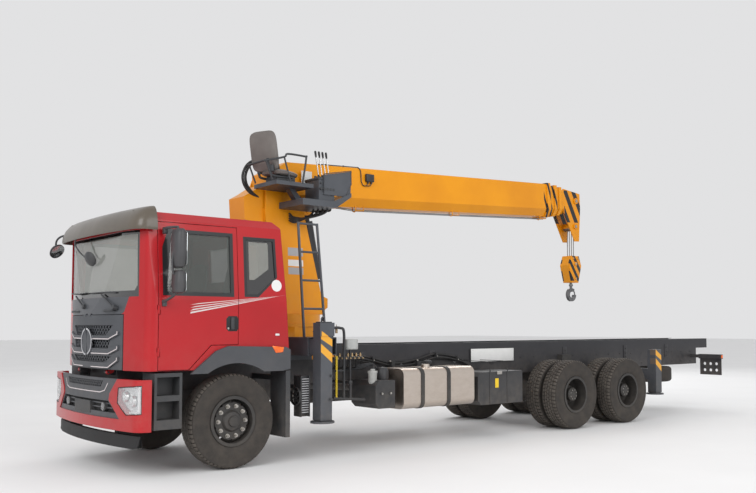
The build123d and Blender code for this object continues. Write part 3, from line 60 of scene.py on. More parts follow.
def mathNode(tree, operation, first, second=None, third=None):
    made = tree.nodes.new("ShaderNodeMath")
    made.operation = operation
    for number, value in enumerate((first, second, third)):
        if value is None:
            continue
        if isinstance(value, (int, float)):
            made.inputs[number].default_value = value
        else:
            tree.links.new(value, made.inputs[number])
    return made.outputs[0]


def mixColour(tree, share, first, second):
    made = tree.nodes.new("ShaderNodeMix")
    made.data_type = "RGBA"
    if isinstance(share, (int, float)):
        made.inputs[0].default_value = share
    else:
        tree.links.new(share, made.inputs[0])
    for number, value in ((6, first), (7, second)):
        if isinstance(value, tuple):
            made.inputs[number].default_value = (*value, 1)
        else:
            tree.links.new(value, made.inputs[number])
    return made.outputs[2]


def mixValue(tree, share, first, second):
    made = tree.nodes.new("ShaderNodeMix")
    tree.links.new(share, made.inputs[0])
    for number, value in ((2, first), (3, second)):
        if isinstance(value, (int, float)):
            made.inputs[number].default_value = value
        else:
            tree.links.new(value, made.inputs[number])
    return made.outputs[0]


def rescale(tree, value, fromLow, fromHigh, toLow, toHigh):
    made = newNode(tree, "ShaderNodeMapRange", **{"From Min": fromLow, "From Max": fromHigh, "To Min": toLow,
                                                  "To Max": toHigh})
    tree.links.new(value, made.inputs["Value"])
    return made.outputs[0]


def noise(tree, coordinates, scale, detail=3.0, roughness=0.55):
    made = newNode(tree, "ShaderNodeTexNoise", Scale=scale, Detail=detail, Roughness=roughness)
    tree.links.new(coordinates, made.inputs["Vector"])
    return made.outputs["Fac"]


def stretched(tree, coordinates, stretch):
    made = tree.nodes.new("ShaderNodeMapping")
    made.inputs["Scale"].default_value = stretch
    tree.links.new(coordinates, made.inputs["Vector"])
    return made.outputs[0]


# finishes

boomLean = math.radians(3)
boomPivot = (-1.150, 3.42)      # metres from the front axle, and height


def above(tree, value, limit):
    return rescale(tree, value, limit - 0.0006, limit + 0.0006, 0, 1)


def markViews(tree, split):
    ahead = mathNode(tree, "SUBTRACT", split.outputs["X"], frontAxleX)
    height = split.outputs["Z"]
    outward = mathNode(tree, "ABSOLUTE", split.outputs["Y"])
    fromPivot = mathNode(tree, "SUBTRACT", ahead, boomPivot[0])
    overPivot = mathNode(tree, "SUBTRACT", height, boomPivot[1])
    along = mathNode(tree, "MULTIPLY_ADD", fromPivot, -math.cos(boomLean),
                     mathNode(tree, "MULTIPLY", overPivot, math.sin(boomLean)))
    up = mathNode(tree, "MULTIPLY_ADD", fromPivot, math.sin(boomLean),
                  mathNode(tree, "MULTIPLY", overPivot, math.cos(boomLean)))
    return {"front": (outward, height), "side": (ahead, height), "boom": (along, up), "outward": outward,
            "ahead": ahead}


def areaMask(tree, axes, corners):      # 1 inside a convex outline
    middle = [sum(corner[k] for corner in corners) / len(corners) for k in range(2)]
    inside = None
    for start, end in zip(corners, corners[1:] + corners[:1]):
        across, up = start[1] - end[1], end[0] - start[0]
        length = math.hypot(across, up)
        across, up = across / length, up / length
        offset = -(across * start[0] + up * start[1])
        if across * middle[0] + up * middle[1] + offset < 0:
            across, up, offset = -across, -up, -offset
        distance = mathNode(tree, "MULTIPLY_ADD", axes[0], across,
                            mathNode(tree, "MULTIPLY_ADD", axes[1], up, offset))
        inside = distance if inside is None else mathNode(tree, "MINIMUM", inside, distance)
    return above(tree, inside, 0)


def markShare(tree, views, mark):
    axes = views[mark["view"]]
    share = None
    for corners in mark["areas"]:
        inside = areaMask(tree, axes, corners)
        share = inside if share is None else mathNode(tree, "MAXIMUM", share, inside)
    for limitName in ("outward", "ahead"):
        if limitName in mark:
            share = mathNode(tree, "MULTIPLY", share, above(tree, views[limitName], mark[limitName]))
    if "stripes" in mark:
        slope, pitch, duty = mark["stripes"]
        phase = mathNode(tree, "FRACT", mathNode(tree, "DIVIDE",
                                                 mathNode(tree, "MULTIPLY_ADD", axes[1], slope, axes[0]), pitch))
        share = mathNode(tree, "MULTIPLY", share, mathNode(tree, "LESS_THAN", phase, duty))
    return share


def finishFrom(name, look):
    finish = bpy.data.materials.new(name)
    finish.use_nodes = True
    tree = finish.node_tree
    shader = tree.nodes["Principled BSDF"]
    where = tree.nodes.new("ShaderNodeTexCoord").outputs["Object"]
    if look.get("stretch"):
        where = stretched(tree, where, look["stretch"])
    cloudy = noise(tree, where, look.get("patch", 2.5))
    fine = noise(tree, where, look.get("grain", 180.0), 2.0)
    colour = mixColour(tree, rescale(tree, cloudy, 0.35, 0.65, 0, 1), look["colour"],
                       look.get("shade", look["colour"]))
    speckle = look.get("speckle", 0.0)
    if speckle:
        colour = mixColour(tree, rescale(tree, fine, 0.45, 0.75, 0, speckle), colour,
                           look.get("speckleColour", (0.5, 0.5, 0.5)))
    split = tree.nodes.new("ShaderNodeSeparateXYZ")
    tree.links.new(tree.nodes.new("ShaderNodeTexCoord").outputs["Object"], split.inputs[0])
    roughness = rescale(tree, cloudy, 0.3, 0.7, *look.get("rough", (0.4, 0.5)))
    metal = None
    if look.get("marks"):
        views = markViews(tree, split)
        for mark in look["marks"]:
            share = markShare(tree, views, mark)
            colour = mixColour(tree, share, colour, mark["colour"])
            if "rough" in mark:
                roughness = mixValue(tree, share, roughness, mark["rough"])
            if "metal" in mark:
                metal = mixValue(tree, share, metal or look.get("metal", 0.0), mark["metal"])
    if look.get("dust"):
        low, high, amount = look["dust"]          # full below low, none above high
        lowness = rescale(tree, split.outputs["Z"], low, high, 1, 0)
        blotch = rescale(tree, noise(tree, where, look.get("dustPatch", 9.0), 6.0, 0.7), 0.3, 0.7, 0, 1)
        share = mathNode(tree, "MULTIPLY", mathNode(tree, "MULTIPLY", lowness, blotch), amount)
        colour = mixColour(tree, share, colour, look.get("dustColour", (0.24, 0.2, 0.16)))
    normal = None
    if look.get("edge"):
        rounding = tree.nodes.new("ShaderNodeBevel")
        rounding.samples = 4
        rounding.inputs["Radius"].default_value = look["edge"]
        normal = rounding.outputs[0]
        if look.get("wear"):
            facing = tree.nodes.new("ShaderNodeVectorMath")
            facing.operation = "DOT_PRODUCT"
            tree.links.new(normal, facing.inputs[0])
            tree.links.new(tree.nodes.new("ShaderNodeNewGeometry").outputs["Normal"], facing.inputs[1])
            rim = rescale(tree, facing.outputs["Value"], 0.97, 0.8, 0, 1)
            patchy = rescale(tree, noise(tree, where, 14.0, 5.0, 0.7), 0.45, 0.62, 0, 1)
            colour = mixColour(tree, mathNode(tree, "MULTIPLY", mathNode(tree, "MULTIPLY", rim, patchy),
                                              look["wear"]),
                               colour, look.get("wearColour", (0.35, 0.33, 0.31)))
    tree.links.new(colour, shader.inputs["Base Color"])
    tree.links.new(roughness, shader.inputs["Roughness"])
    bump = newNode(tree, "ShaderNodeBump", Strength=look.get("bump", 0.1), Distance=look.get("bumpDepth", 0.001))
    tree.links.new(fine, bump.inputs["Height"])
    if normal:
        tree.links.new(normal, bump.inputs["Normal"])
    tree.links.new(bump.outputs[0], shader.inputs["Normal"])
    if metal:
        tree.links.new(metal, shader.inputs["Metallic"])
    else:
        shader.inputs["Metallic"].default_value = look.get("metal", 0.0)
    shader.inputs["Specular IOR Level"].default_value = look.get("shine", 0.4)
    shader.inputs["Coat Weight"].default_value = look.get("coat", 0.0)
    shader.inputs["Coat Roughness"].default_value = look.get("coatRough", 0.08)
    if look.get("clear"):
        shader.inputs["Transmission Weight"].default_value = look["clear"]
        shader.inputs["IOR"].default_value = 1.12
    if look.get("glow"):
        shader.inputs["Emission Color"].default_value = (*look["colour"], 1)
        shader.inputs["Emission Strength"].default_value = look["glow"]
    return finish


paintLooks = {
    "cabRed": dict(colour=(0.42, 0.005, 0.010), shade=(0.36, 0.004, 0.008), patch=0.8, rough=(0.3, 0.36),
                   coat=0.3, shine=0.3, bump=0.02, edge=0.008, dust=(0.9, 1.6, 0.12)),
    "craneYellow": dict(colour=(0.76, 0.295, 0.002), shade=(0.68, 0.25, 0.002), patch=1.2, rough=(0.36, 0.46),
                        coat=0.15, shine=0.25, bump=0.04, edge=0.006, wear=0.5, wearColour=(0.5, 0.26, 0.03),
                        dust=(1.3, 3.6, 0.1)),
    "frameBlack": dict(colour=(0.022, 0.022, 0.026), shade=(0.032, 0.032, 0.036), patch=3.0, rough=(0.42, 0.58),
                       bump=0.12, edge=0.003, wear=0.35, wearColour=(0.12, 0.11, 0.1), dust=(0.4, 1.25, 0.42)),
    "legGrey": dict(colour=(0.07, 0.076, 0.088), shade=(0.055, 0.06, 0.07), patch=2.0, rough=(0.4, 0.52),
                    coat=0.1, bump=0.08, edge=0.004, wear=0.5, wearColour=(0.3, 0.3, 0.3), dust=(0.4, 1.4, 0.2)),
    "axleBlack": dict(colour=(0.03, 0.029, 0.028), shade=(0.05, 0.045, 0.04), patch=6.0, rough=(0.5, 0.75),
                      bump=0.5, grain=60.0, edge=0.005, dust=(0.0, 0.9, 0.6)),
    "springBlack": dict(colour=(0.03, 0.03, 0.031), shade=(0.05, 0.046, 0.042), patch=8.0, rough=(0.5, 0.7),
                        bump=0.3, edge=0.002, dust=(0.2, 1.1, 0.55)),
    "engineGrey": dict(colour=(0.07, 0.07, 0.074), shade=(0.11, 0.1, 0.095), patch=5.0, rough=(0.5, 0.7),
                       bump=0.4, grain=90.0, edge=0.01, dust=(0.4, 1.2, 0.5)),
    "trimGrey": dict(colour=(0.062, 0.066, 0.075), shade=(0.052, 0.056, 0.064), patch=2.0, rough=(0.45, 0.55),
                     bump=0.35, grain=420.0, edge=0.004, dust=(0.9, 1.5, 0.12)),
    "stepBlack": dict(colour=(0.035, 0.037, 0.041), shade=(0.045, 0.047, 0.05), patch=3.0, rough=(0.5, 0.62),
                      bump=0.5, grain=380.0, edge=0.005, dust=(0.3, 1.0, 0.3)),
    "visorSmoke": dict(colour=(0.1, 0.082, 0.062), shade=(0.082, 0.068, 0.052), patch=1.6, rough=(0.3, 0.4),
                       coat=0.3, bump=0.1, edge=0.004),
    "seatShell": dict(colour=(0.15, 0.135, 0.125), shade=(0.12, 0.108, 0.1), patch=5.0, rough=(0.5, 0.62),
                      bump=0.45, grain=300.0, edge=0.008),
    "cabCloth": dict(colour=(0.12, 0.115, 0.11), shade=(0.085, 0.082, 0.08), patch=7.0, rough=(0.8, 0.95),
                     bump=0.6, grain=520.0),
    "tankAluminium": dict(colour=(0.6, 0.53, 0.47), shade=(0.56, 0.49, 0.43), patch=3.0, metal=1.0,
                          rough=(0.3, 0.42), bump=0.25, grain=40.0, stretch=(2.5, 6.0, 6.0),
                          dust=(0.4, 1.1, 0.22), dustColour=(0.3, 0.24, 0.19)),
    "strapBlack": dict(colour=(0.022, 0.022, 0.024), shade=(0.03, 0.03, 0.03), rough=(0.45, 0.6), bump=0.2,
                       edge=0.002, dust=(0.4, 1.1, 0.3)),
    "boxBlack": dict(colour=(0.026, 0.027, 0.03), shade=(0.036, 0.037, 0.04), patch=4.0, rough=(0.4, 0.5),
                     bump=0.3, grain=260.0, edge=0.008, dust=(0.4, 1.0, 0.3)),
    "tyreRubber": dict(colour=(0.03, 0.026, 0.023), shade=(0.042, 0.036, 0.031), patch=9.0, rough=(0.72, 0.85),
                       bump=0.35, grain=220.0, dust=(-0.72, 0.88, 0.22), dustColour=(0.16, 0.135, 0.11)),
    "treadRubber": dict(colour=(0.085, 0.074, 0.064), shade=(0.05, 0.044, 0.039), patch=14.0, rough=(0.8, 0.92),
                        bump=0.3, grain=220.0, dust=(-0.72, 0.95, 0.3), dustColour=(0.24, 0.205, 0.17)),
    "rimBlack": dict(colour=(0.026, 0.025, 0.025), shade=(0.036, 0.034, 0.032), patch=10.0, rough=(0.4, 0.55),
                     bump=0.1, edge=0.003, dust=(0.0, 0.9, 0.25)),
    "hookSteel": dict(colour=(0.2, 0.2, 0.205), shade=(0.14, 0.14, 0.145), patch=12.0, metal=0.8,
                      rough=(0.4, 0.55), bump=0.4, grain=90.0, edge=0.004),
    "rodChrome": dict(colour=(0.62, 0.63, 0.64), shade=(0.56, 0.57, 0.58), patch=3.0, metal=1.0,
                      rough=(0.1, 0.16), bump=0.02),
    "nutSteel": dict(colour=(0.5, 0.48, 0.45), shade=(0.38, 0.36, 0.33), patch=40.0, metal=1.0, rough=(0.3, 0.45),
                     bump=0.15),
    "hoseRubber": dict(colour=(0.018, 0.018, 0.019), shade=(0.028, 0.027, 0.026), patch=14.0, rough=(0.5, 0.62),
                       bump=0.3, grain=240.0),
    "ropeSteel": dict(colour=(0.2, 0.19, 0.18), shade=(0.13, 0.125, 0.12), patch=60.0, metal=0.7,
                      rough=(0.4, 0.6), bump=0.5, grain=500.0),
    "labelWhite": dict(colour=(0.72, 0.72, 0.71), shade=(0.66, 0.66, 0.65), patch=4.0, rough=(0.35, 0.45),
                       bump=0.03),
    "labelGrey": dict(colour=(0.4, 0.4, 0.41), shade=(0.34, 0.34, 0.35), patch=4.0, rough=(0.4, 0.5), bump=0.03),
    "decalSilver": dict(colour=(0.66, 0.6, 0.6), shade=(0.58, 0.52, 0.52), patch=8.0, rough=(0.35, 0.45),
                        bump=0.03),
    "lensClear": dict(colour=(0.9, 0.91, 0.92), shade=(0.86, 0.87, 0.88), rough=(0.05, 0.1), clear=0.85,
                      bump=0.02, coat=0.5),
    "lampSilver": dict(colour=(0.75, 0.75, 0.74), shade=(0.62, 0.62, 0.61), patch=30.0, metal=1.0,
                       rough=(0.12, 0.25), bump=0.05),
    "lensAmber": dict(colour=(0.85, 0.16, 0.01), shade=(0.75, 0.11, 0.005), patch=20.0, rough=(0.15, 0.25),
                      coat=0.6, bump=0.2, grain=120.0),
    "lensRed": dict(colour=(0.5, 0.012, 0.01), shade=(0.4, 0.01, 0.008), patch=20.0, rough=(0.15, 0.25), coat=0.6,
                    bump=0.2, grain=120.0),
    # near-black for seals, cups and grips; also the sheets behind the grille and bumper openings, where it is
    # painted shade of the recesses
    "sealAndShadeBlack": dict(colour=(0.012, 0.012, 0.013), shade=(0.018, 0.018, 0.018), rough=(0.55, 0.7), bump=0.1),
    "rodYellow": dict(colour=(0.7, 0.5, 0.03), shade=(0.6, 0.42, 0.02), patch=20.0, rough=(0.4, 0.5), bump=0.1),
    "stickerYellow": dict(colour=(0.8, 0.55, 0.02), shade=(0.75, 0.5, 0.02), patch=20.0, rough=(0.35, 0.45),
                          bump=0.02),
    "terminalGrey": dict(colour=(0.42, 0.43, 0.42), shade=(0.36, 0.37, 0.36), patch=12.0, rough=(0.45, 0.55),
                         bump=0.2, edge=0.003),
    "brassTan": dict(colour=(0.5, 0.36, 0.2), shade=(0.36, 0.26, 0.15), patch=40.0, metal=0.9, rough=(0.3, 0.45),
                     bump=0.15),
    "filterPale": dict(colour=(0.45, 0.45, 0.43), shade=(0.35, 0.35, 0.34), patch=14.0, rough=(0.4, 0.5),
                       bump=0.15),
    "boltBlack": dict(colour=(0.045, 0.045, 0.047), shade=(0.07, 0.068, 0.065), patch=30.0, metal=0.4,
                      rough=(0.4, 0.55), bump=0.2),
    "mirrorPlastic": dict(colour=(0.04, 0.041, 0.044), shade=(0.05, 0.051, 0.055), patch=6.0, rough=(0.38, 0.48),
                          bump=0.3, grain=340.0, dust=(1.6, 2.8, 0.1)),
    "badgeChrome": dict(colour=(0.7, 0.7, 0.72), shade=(0.6, 0.6, 0.63), patch=9.0, metal=1.0, rough=(0.12, 0.2),
                        bump=0.02),
    "mirrorGlass": dict(colour=(0.75, 0.77, 0.78), shade=(0.7, 0.72, 0.73), metal=1.0, rough=(0.03, 0.06),
                        bump=0.01),
}


def marked(name, *marks):
    return dict(paintLooks[name], marks=marks)


black, grey, pale, silver = (0.02, 0.021, 0.023), (0.062, 0.066, 0.075), (0.7, 0.7, 0.69), (0.62, 0.58, 0.57)
sideStripes = [[(0.55, 1.703 + rise), (0.545 - 0.03 * k, 1.722 + rise), (-0.572, 1.915)]
               for k, rise in enumerate((0, 0.031, 0.062, 0.093))]
legBands = [[(-1.108, 1.511), (-1.108, 1.417), (-1.272, 1.325), (-1.272, 1.41)],
            [(-1.108, 1.362), (-1.108, 1.263), (-1.272, 1.134), (-1.272, 1.238)]]
farBands = [[(x - 0.23, z) for x, z in band] for band in legBands]
rearBands = [[(x - 6.955, z - 0.34) for x, z in band] for band in legBands]
bandYellow = (0.75, 0.36, 0.03)
cornerPanel = [(-0.11, 2.575), (-0.53, 2.575), (-0.545, 2.125), (-0.29, 1.895), (-0.11, 1.895)]
cornerRound = [(-0.533 + 0.068 * math.cos(turn * math.pi / 8), 2.033 + 0.068 * math.sin(turn * math.pi / 8))
               for turn in range(16)]
paintLooks.update({
    "shellRed": marked(
        "cabRed",
        dict(view="front", areas=[[(-0.1, 1.60), (0.70, 1.60), (0.76, 1.72), (1.07, 1.88), (-0.1, 1.88)]],
             ahead=0.93, colour=grey, rough=0.5),
        dict(view="side", areas=[cornerPanel], outward=1.05, colour=black, rough=0.3),
        dict(view="side", areas=[cornerRound], outward=1.05, colour=pale, rough=0.4),
        dict(view="side", areas=sideStripes, outward=1.1, colour=silver, rough=0.35)),
    "doorRed": marked(
        "cabRed",
        dict(view="side", areas=[[(0.86, 1.89), (0.86, 2.4), (0.79, 2.60), (0.02, 2.60), (0.02, 1.89)]],
             colour=black, rough=0.3),
        dict(view="side", areas=sideStripes, outward=1.1, colour=silver, rough=0.35)),
    "nearLegGrey": marked("legGrey", dict(view="side", areas=legBands, outward=1.2, colour=bandYellow)),
    "farLegGrey": marked("legGrey", dict(view="side", areas=farBands, outward=1.2, colour=bandYellow)),
    "rearLegGrey": marked("legGrey", dict(view="side", areas=rearBands, outward=1.1, colour=bandYellow)),
    "collarYellow": marked(
        "craneYellow",
        dict(view="boom", areas=[[(5.25, -0.4), (5.62, -0.4), (5.62, 0.6), (5.25, 0.6)]],
             outward=0.09, stripes=(0.32, 0.15, 0.32), colour=black)),
    "headYellow": marked(
        "craneYellow",
        dict(view="boom", areas=[[(5.86, -0.36), (6.32, -0.36), (6.32, 0.2), (5.86, 0.2)]],
             outward=0.07, stripes=(0.5, 0.22, 0.5), colour=black)),
    "blockYellow": marked(
        "craneYellow",
        dict(view="side", areas=[[(-7.6, 2.36), (-7.1, 2.36), (-7.1, 2.8), (-7.6, 2.8)]],
             outward=0.07, stripes=(-0.7, 0.16, 0.5), colour=black),
        dict(view="side", areas=[[(-7.6, 2.801), (-7.1, 2.801), (-7.1, 3.29), (-7.6, 3.29)]],
             colour=(0.2, 0.19, 0.18), rough=0.5, metal=0.7)),
    "columnYellow": marked(
        "craneYellow",
        dict(view="side", areas=[[(-1.25, 2.58), (-1.48, 2.58), (-1.48, 2.474), (-1.25, 2.474)],
                                 [(-1.25, 2.324), (-1.48, 2.324), (-1.48, 2.234), (-1.25, 2.234)]], outward=0.2,
             colour=(0.36, 0.36, 0.37)),
        dict(view="side", areas=[[(-1.25, 2.423), (-1.48, 2.423), (-1.48, 2.341), (-1.25, 2.341)]], outward=0.2,
             colour=pale)),
})
finishes = {name: finishFrom(name, look) for name, look in paintLooks.items()}


def windowGlass(name, tint, clear, clearMarks=()):      # all but the clear marks is black border
    finish = bpy.data.materials.new(name)
    finish.use_nodes = True
    tree = finish.node_tree
    shader = tree.nodes["Principled BSDF"]
    where = tree.nodes.new("ShaderNodeTexCoord").outputs["Object"]
    smear = noise(tree, where, 3.0, 4.0)
    colour = mixColour(tree, smear, tint, tuple(0.82 * part for part in tint))
    if clearMarks:
        split = tree.nodes.new("ShaderNodeSeparateXYZ")
        tree.links.new(where, split.inputs[0])
        views = markViews(tree, split)
        share = None
        for mark in clearMarks:
            inside = markShare(tree, views, mark)
            share = inside if share is None else mathNode(tree, "MAXIMUM", share, inside)
        colour = mixColour(tree, share, (0.012, 0.012, 0.013), colour)
        tree.links.new(mixValue(tree, share, 1.0, clear), shader.inputs["Alpha"])
    tree.links.new(colour, shader.inputs["Base Color"])
    tree.links.new(rescale(tree, smear, 0.3, 0.7, 0.02, 0.07), shader.inputs["Roughness"])
    shader.inputs["Alpha"].default_value = clear
    shader.inputs["Specular IOR Level"].default_value = 0.9
    shader.inputs["Coat Weight"].default_value = 0.6
    shader.inputs["Coat Roughness"].default_value = 0.02
    return finish


finishes["cabGlass"] = windowGlass("cabGlass", (0.34, 0.35, 0.32), 0.5, (
    dict(view="front", areas=[[(-0.1, 1.945), (0.9, 1.945), (0.945, 2.0), (0.935, 2.54), (-0.1, 2.54)]],
         ahead=0.85),
    dict(view="side", areas=[[(-0.185, 2.52), (-0.44, 2.52), (-0.44, 2.22), (-0.25, 2.09), (-0.185, 2.09)]],
         outward=1.05),
    dict(view="side", areas=[[(-0.8, 1.8), (-0.6, 1.8), (-0.6, 2.7), (-0.8, 2.7)]])))
finishes["doorGlass"] = windowGlass("doorGlass", (0.1, 0.11, 0.1), 0.5)
finishes["lampLens"] = windowGlass("lampLens", (0.8, 0.82, 0.84), 0.22)

nodeFinishes = {
    "frameBlack": "chassis_rails subframe_rails cross_members tail_lamps control_station luff_barrel",
    "axleBlack": "axles knuckle_left knuckle_right",
    "springBlack": "leaf_springs",
    "engineGrey": "power_unit",
    "cabRed": "bumper",
    "shellRed": "cab_shell",
    "doorRed": "door_left door_right",
    "stepBlack": "steps mirrors_left mirrors_right",
    "tankAluminium": "fuel_tank",
    "strapBlack": "tank_straps",
    "boxBlack": "side_boxes",
    "legGrey": "ladder operator_stand rear_jack_left rear_jack_right",
    "nearLegGrey": "front_beam_left front_jack_left",
    "farLegGrey": "front_beam_right front_jack_right",
    "rearLegGrey": "outrigger_boxes",
    "craneYellow": "crane_base",
    "columnYellow": "slew_column",
    "collarYellow": "boom_base boom_2 boom_3",
    "headYellow": "boom_4",
    "blockYellow": "hook_block",
    "cabGlass": "cab_glass",
    "doorGlass": "door_glass_left door_glass_right",
    "trimGrey": "wheel_arches grille_panel",
    "visorSmoke": "roof_visor",
    "cabCloth": "cab_interior",
    "seatShell": "operator_seat",
    "tyreRubber": ("spare_wheel front_tyre_left front_tyre_right rear_tyres_1_left rear_tyres_1_right "
                   "rear_tyres_2_left rear_tyres_2_right"),
    "rimBlack": ("front_rim_left front_rim_right rear_rims_1_left rear_rims_1_right "
                 "rear_rims_2_left rear_rims_2_right"),
    "hookSteel": "hook",
    "rodChrome": "luff_rod",
}
for finishName, names in nodeFinishes.items():
    for name in names.split():
        for place in nodes[name].material_slots:
            place.material = finishes[finishName]
print("finishes made:", len(finishes))

# mesh making


def markFaces(faces, finish):
    for face in faces:
        face.material_index = finish


def addBox(form, low, high, bevel=0.0, finish=0):
    made = bmesh.ops.create_cube(form, size=1.0)["verts"]
    size = [highEnd - lowEnd for lowEnd, highEnd in zip(low, high)]
    middle = [(highEnd + lowEnd) / 2 for lowEnd, highEnd in zip(low, high)]
    for vertex in made:
        vertex.co = Vector([vertex.co[k] * size[k] + middle[k] for k in range(3)])
    faces = {face for vertex in made for face in vertex.link_faces}
    markFaces(faces, finish)
    if bevel:
        edges = {edge for vertex in made for edge in vertex.link_edges}
        bevelled = bmesh.ops.bevel(form, geom=list(edges), offset=bevel, segments=2, profile=0.5, affect="EDGES")
        markFaces(bevelled["faces"], finish)


def addBar(form, start, end, radius, sides=16, finish=0, endRadius=None):
    start, end = Vector(start), Vector(end)
    direction = end - start
    turn = direction.to_track_quat("Z", "Y").to_matrix().to_4x4()
    made = bmesh.ops.create_cone(form, cap_ends=True, segments=sides, radius1=radius,
                                 radius2=radius if endRadius is None else endRadius, depth=direction.length,
                                 matrix=Matrix.Translation((start + end) / 2) @ turn)["verts"]
    markFaces({face for vertex in made for face in vertex.link_faces}, finish)


def addSpin(form, outline, centre, axis, steps=48, finish=0, closed=False):
    axis = Vector(axis).normalized()
    side = axis.orthogonal().normalized()
    rings = []
    for step in range(steps):
        out = Matrix.Rotation(2 * math.pi * step / steps, 3, axis) @ side
        rings.append([form.verts.new(Vector(centre) + out * radius + axis * along) for radius, along in outline])
    count = len(outline)
    for step in range(steps):
        near, far = rings[step], rings[(step + 1) % steps]
        for k in range(count if closed else count - 1):
            quad = (near[k], near[(k + 1) % count], far[(k + 1) % count], far[k])
            face = form.faces.new(quad)
            face.material_index = finish


def addPrism(form, outline, normalAxis, low, high, finish=0, bevel=0.0):
    def place(point, depth):
        spot = list(point)
        spot.insert(normalAxis, depth)
        return Vector(spot)
    base = [form.verts.new(place(point, low)) for point in outline]
    top = [form.verts.new(place(point, high)) for point in outline]
    faces = [form.faces.new(base), form.faces.new(list(reversed(top)))]
    for k in range(len(outline)):
        after = (k + 1) % len(outline)
        faces.append(form.faces.new((base[after], base[k], top[k], top[after])))
    markFaces(faces, finish)
    if bevel:
        edges = {edge for face in faces for edge in face.edges}
        bevelled = bmesh.ops.bevel(form, geom=list(edges), offset=bevel, segments=2, profile=0.5, affect="EDGES")
        markFaces(bevelled["faces"], finish)


def smoothLine(points, perRun=6):
    points = [Vector(point) for point in points]
    if len(points) < 3:
        return points
    ends = [2 * points[0] - points[1]] + points + [2 * points[-1] - points[-2]]
    made = []
    for k in range(1, len(ends) - 2):
        before, start, end, after = ends[k - 1:k + 3]
        for step in range(perRun):
            t = step / perRun
            square = (2 * before - 5 * start + 4 * end - after) * t * t
            cube = (3 * start - before - 3 * end + after) * t ** 3
            made.append(0.5 * (2 * start + (end - before) * t + square + cube))
    return made + [points[-1]]


def addTube(form, points, radius, sides=10, finish=0, smooth=True, perRun=6):
    line = smoothLine(points, perRun) if smooth else [Vector(point) for point in points]
    direction = (line[1] - line[0]).normalized()
    across = direction.orthogonal().normalized()
    rings = []
    for k, point in enumerate(line):
        heading = line[min(k + 1, len(line) - 1)] - line[max(k - 1, 0)]
        direction = heading.normalized()
        across = (across - direction * across.dot(direction)).normalized()
        up = direction.cross(across)
        ring = []
        for j in range(sides):
            turn = 2 * math.pi * j / sides
            ring.append(form.verts.new(point + radius * (across * math.cos(turn) + up * math.sin(turn))))
        rings.append(ring)
    for near, far in zip(rings, rings[1:]):
        for j in range(sides):
            form.faces.new((near[j], near[(j + 1) % sides], far[(j + 1) % sides], far[j])).material_index = finish
    form.faces.new(list(reversed(rings[0]))).material_index = finish
    form.faces.new(rings[-1]).material_index = finish


def makePiece(name, form, body, finishNames, smoothAngle=35, replaced=None):
    bmesh.ops.recalc_face_normals(form, faces=form.faces[:])
    mesh = bpy.data.meshes.new(name)
    form.to_mesh(mesh)
    form.free()
    for finishName in finishNames:
        mesh.materials.append(finishes[finishName])
    mesh.shade_smooth()
    mesh.set_sharp_from_angle(angle=math.radians(smoothAngle))
    piece = bpy.data.objects.new(name, mesh)
    bpy.context.collection.objects.link(piece)
    if body:
        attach(piece, body)
    if replaced:
        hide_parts(replaced)
    return piece


# places ahead of the front axle, and boxes and bars on one side of the truck

leftRight = ((1, "left"), (-1, "right"))


def at(distance, y, z):
    return (ahead(distance), y, z)


def addSideBox(form, side, xs, ys, zs, bevel=0.0, finish=0):
    low, high = sorted((side * ys[0], side * ys[1]))
    addBox(form, at(xs[0], low, zs[0]), at(xs[1], high, zs[1]), bevel, finish)


def addStud(form, side, x, ys, z, radius, sides=6, finish=0):
    addBar(form, at(x, side * ys[0], z), at(x, side * ys[1], z), radius, sides, finish)


# tyres and wheels

tyreLook = {
    "radius": 0.523, "halfWidth": 0.138, "treadHalf": 0.104, "groove": 0.013, "rimSeat": 0.278, "beadHalf": 0.109,
    # middle of each tyre, blocks round it, rows of blocks, open share of a row's pitch and of the shoulder's
    "front": {"ys": (0.998,), "blocks": 64, "rows": ((-0.066, -0.028), (-0.021, 0.021), (0.028, 0.066)),
              "gaps": (0.06, 0.22)},
    "rear": {"ys": (1.122, 0.8), "blocks": 58, "rows": ((-0.063, -0.026), (-0.019, 0.019), (0.026, 0.063)),
             "gaps": (0.16, 0.3)},
}
rearAxles = (behind(5.85), behind(7.2))


def crown(across):
    return tyreLook["radius"] * (1 - 0.015 * (across / tyreLook["treadHalf"]) ** 2)


def addTreadBlock(form, stations, startAngle, endAngle, axleY, skew):
    corners = []
    for across, top, lift in stations:
        shift = skew * lift
        for radius in (top - tyreLook["groove"] - 0.001, top):
            for angle in (startAngle + shift, endAngle + shift):
                corners.append(form.verts.new((radius * math.cos(angle), axleY + across,
                                               radius * math.sin(angle))))
    for k in range(len(stations) - 1):
        near, far = corners[4 * k:4 * k + 4], corners[4 * k + 4:4 * k + 8]
        form.faces.new((near[2], near[3], far[3], far[2])).material_index = 1      # dusty top
        form.faces.new((near[0], near[2], far[2], far[0]))
        form.faces.new((near[3], near[1], far[1], far[3]))
    form.faces.new((corners[0], corners[1], corners[3], corners[2]))
    last = corners[-4:]
    form.faces.new((last[0], last[2], last[3], last[1]))


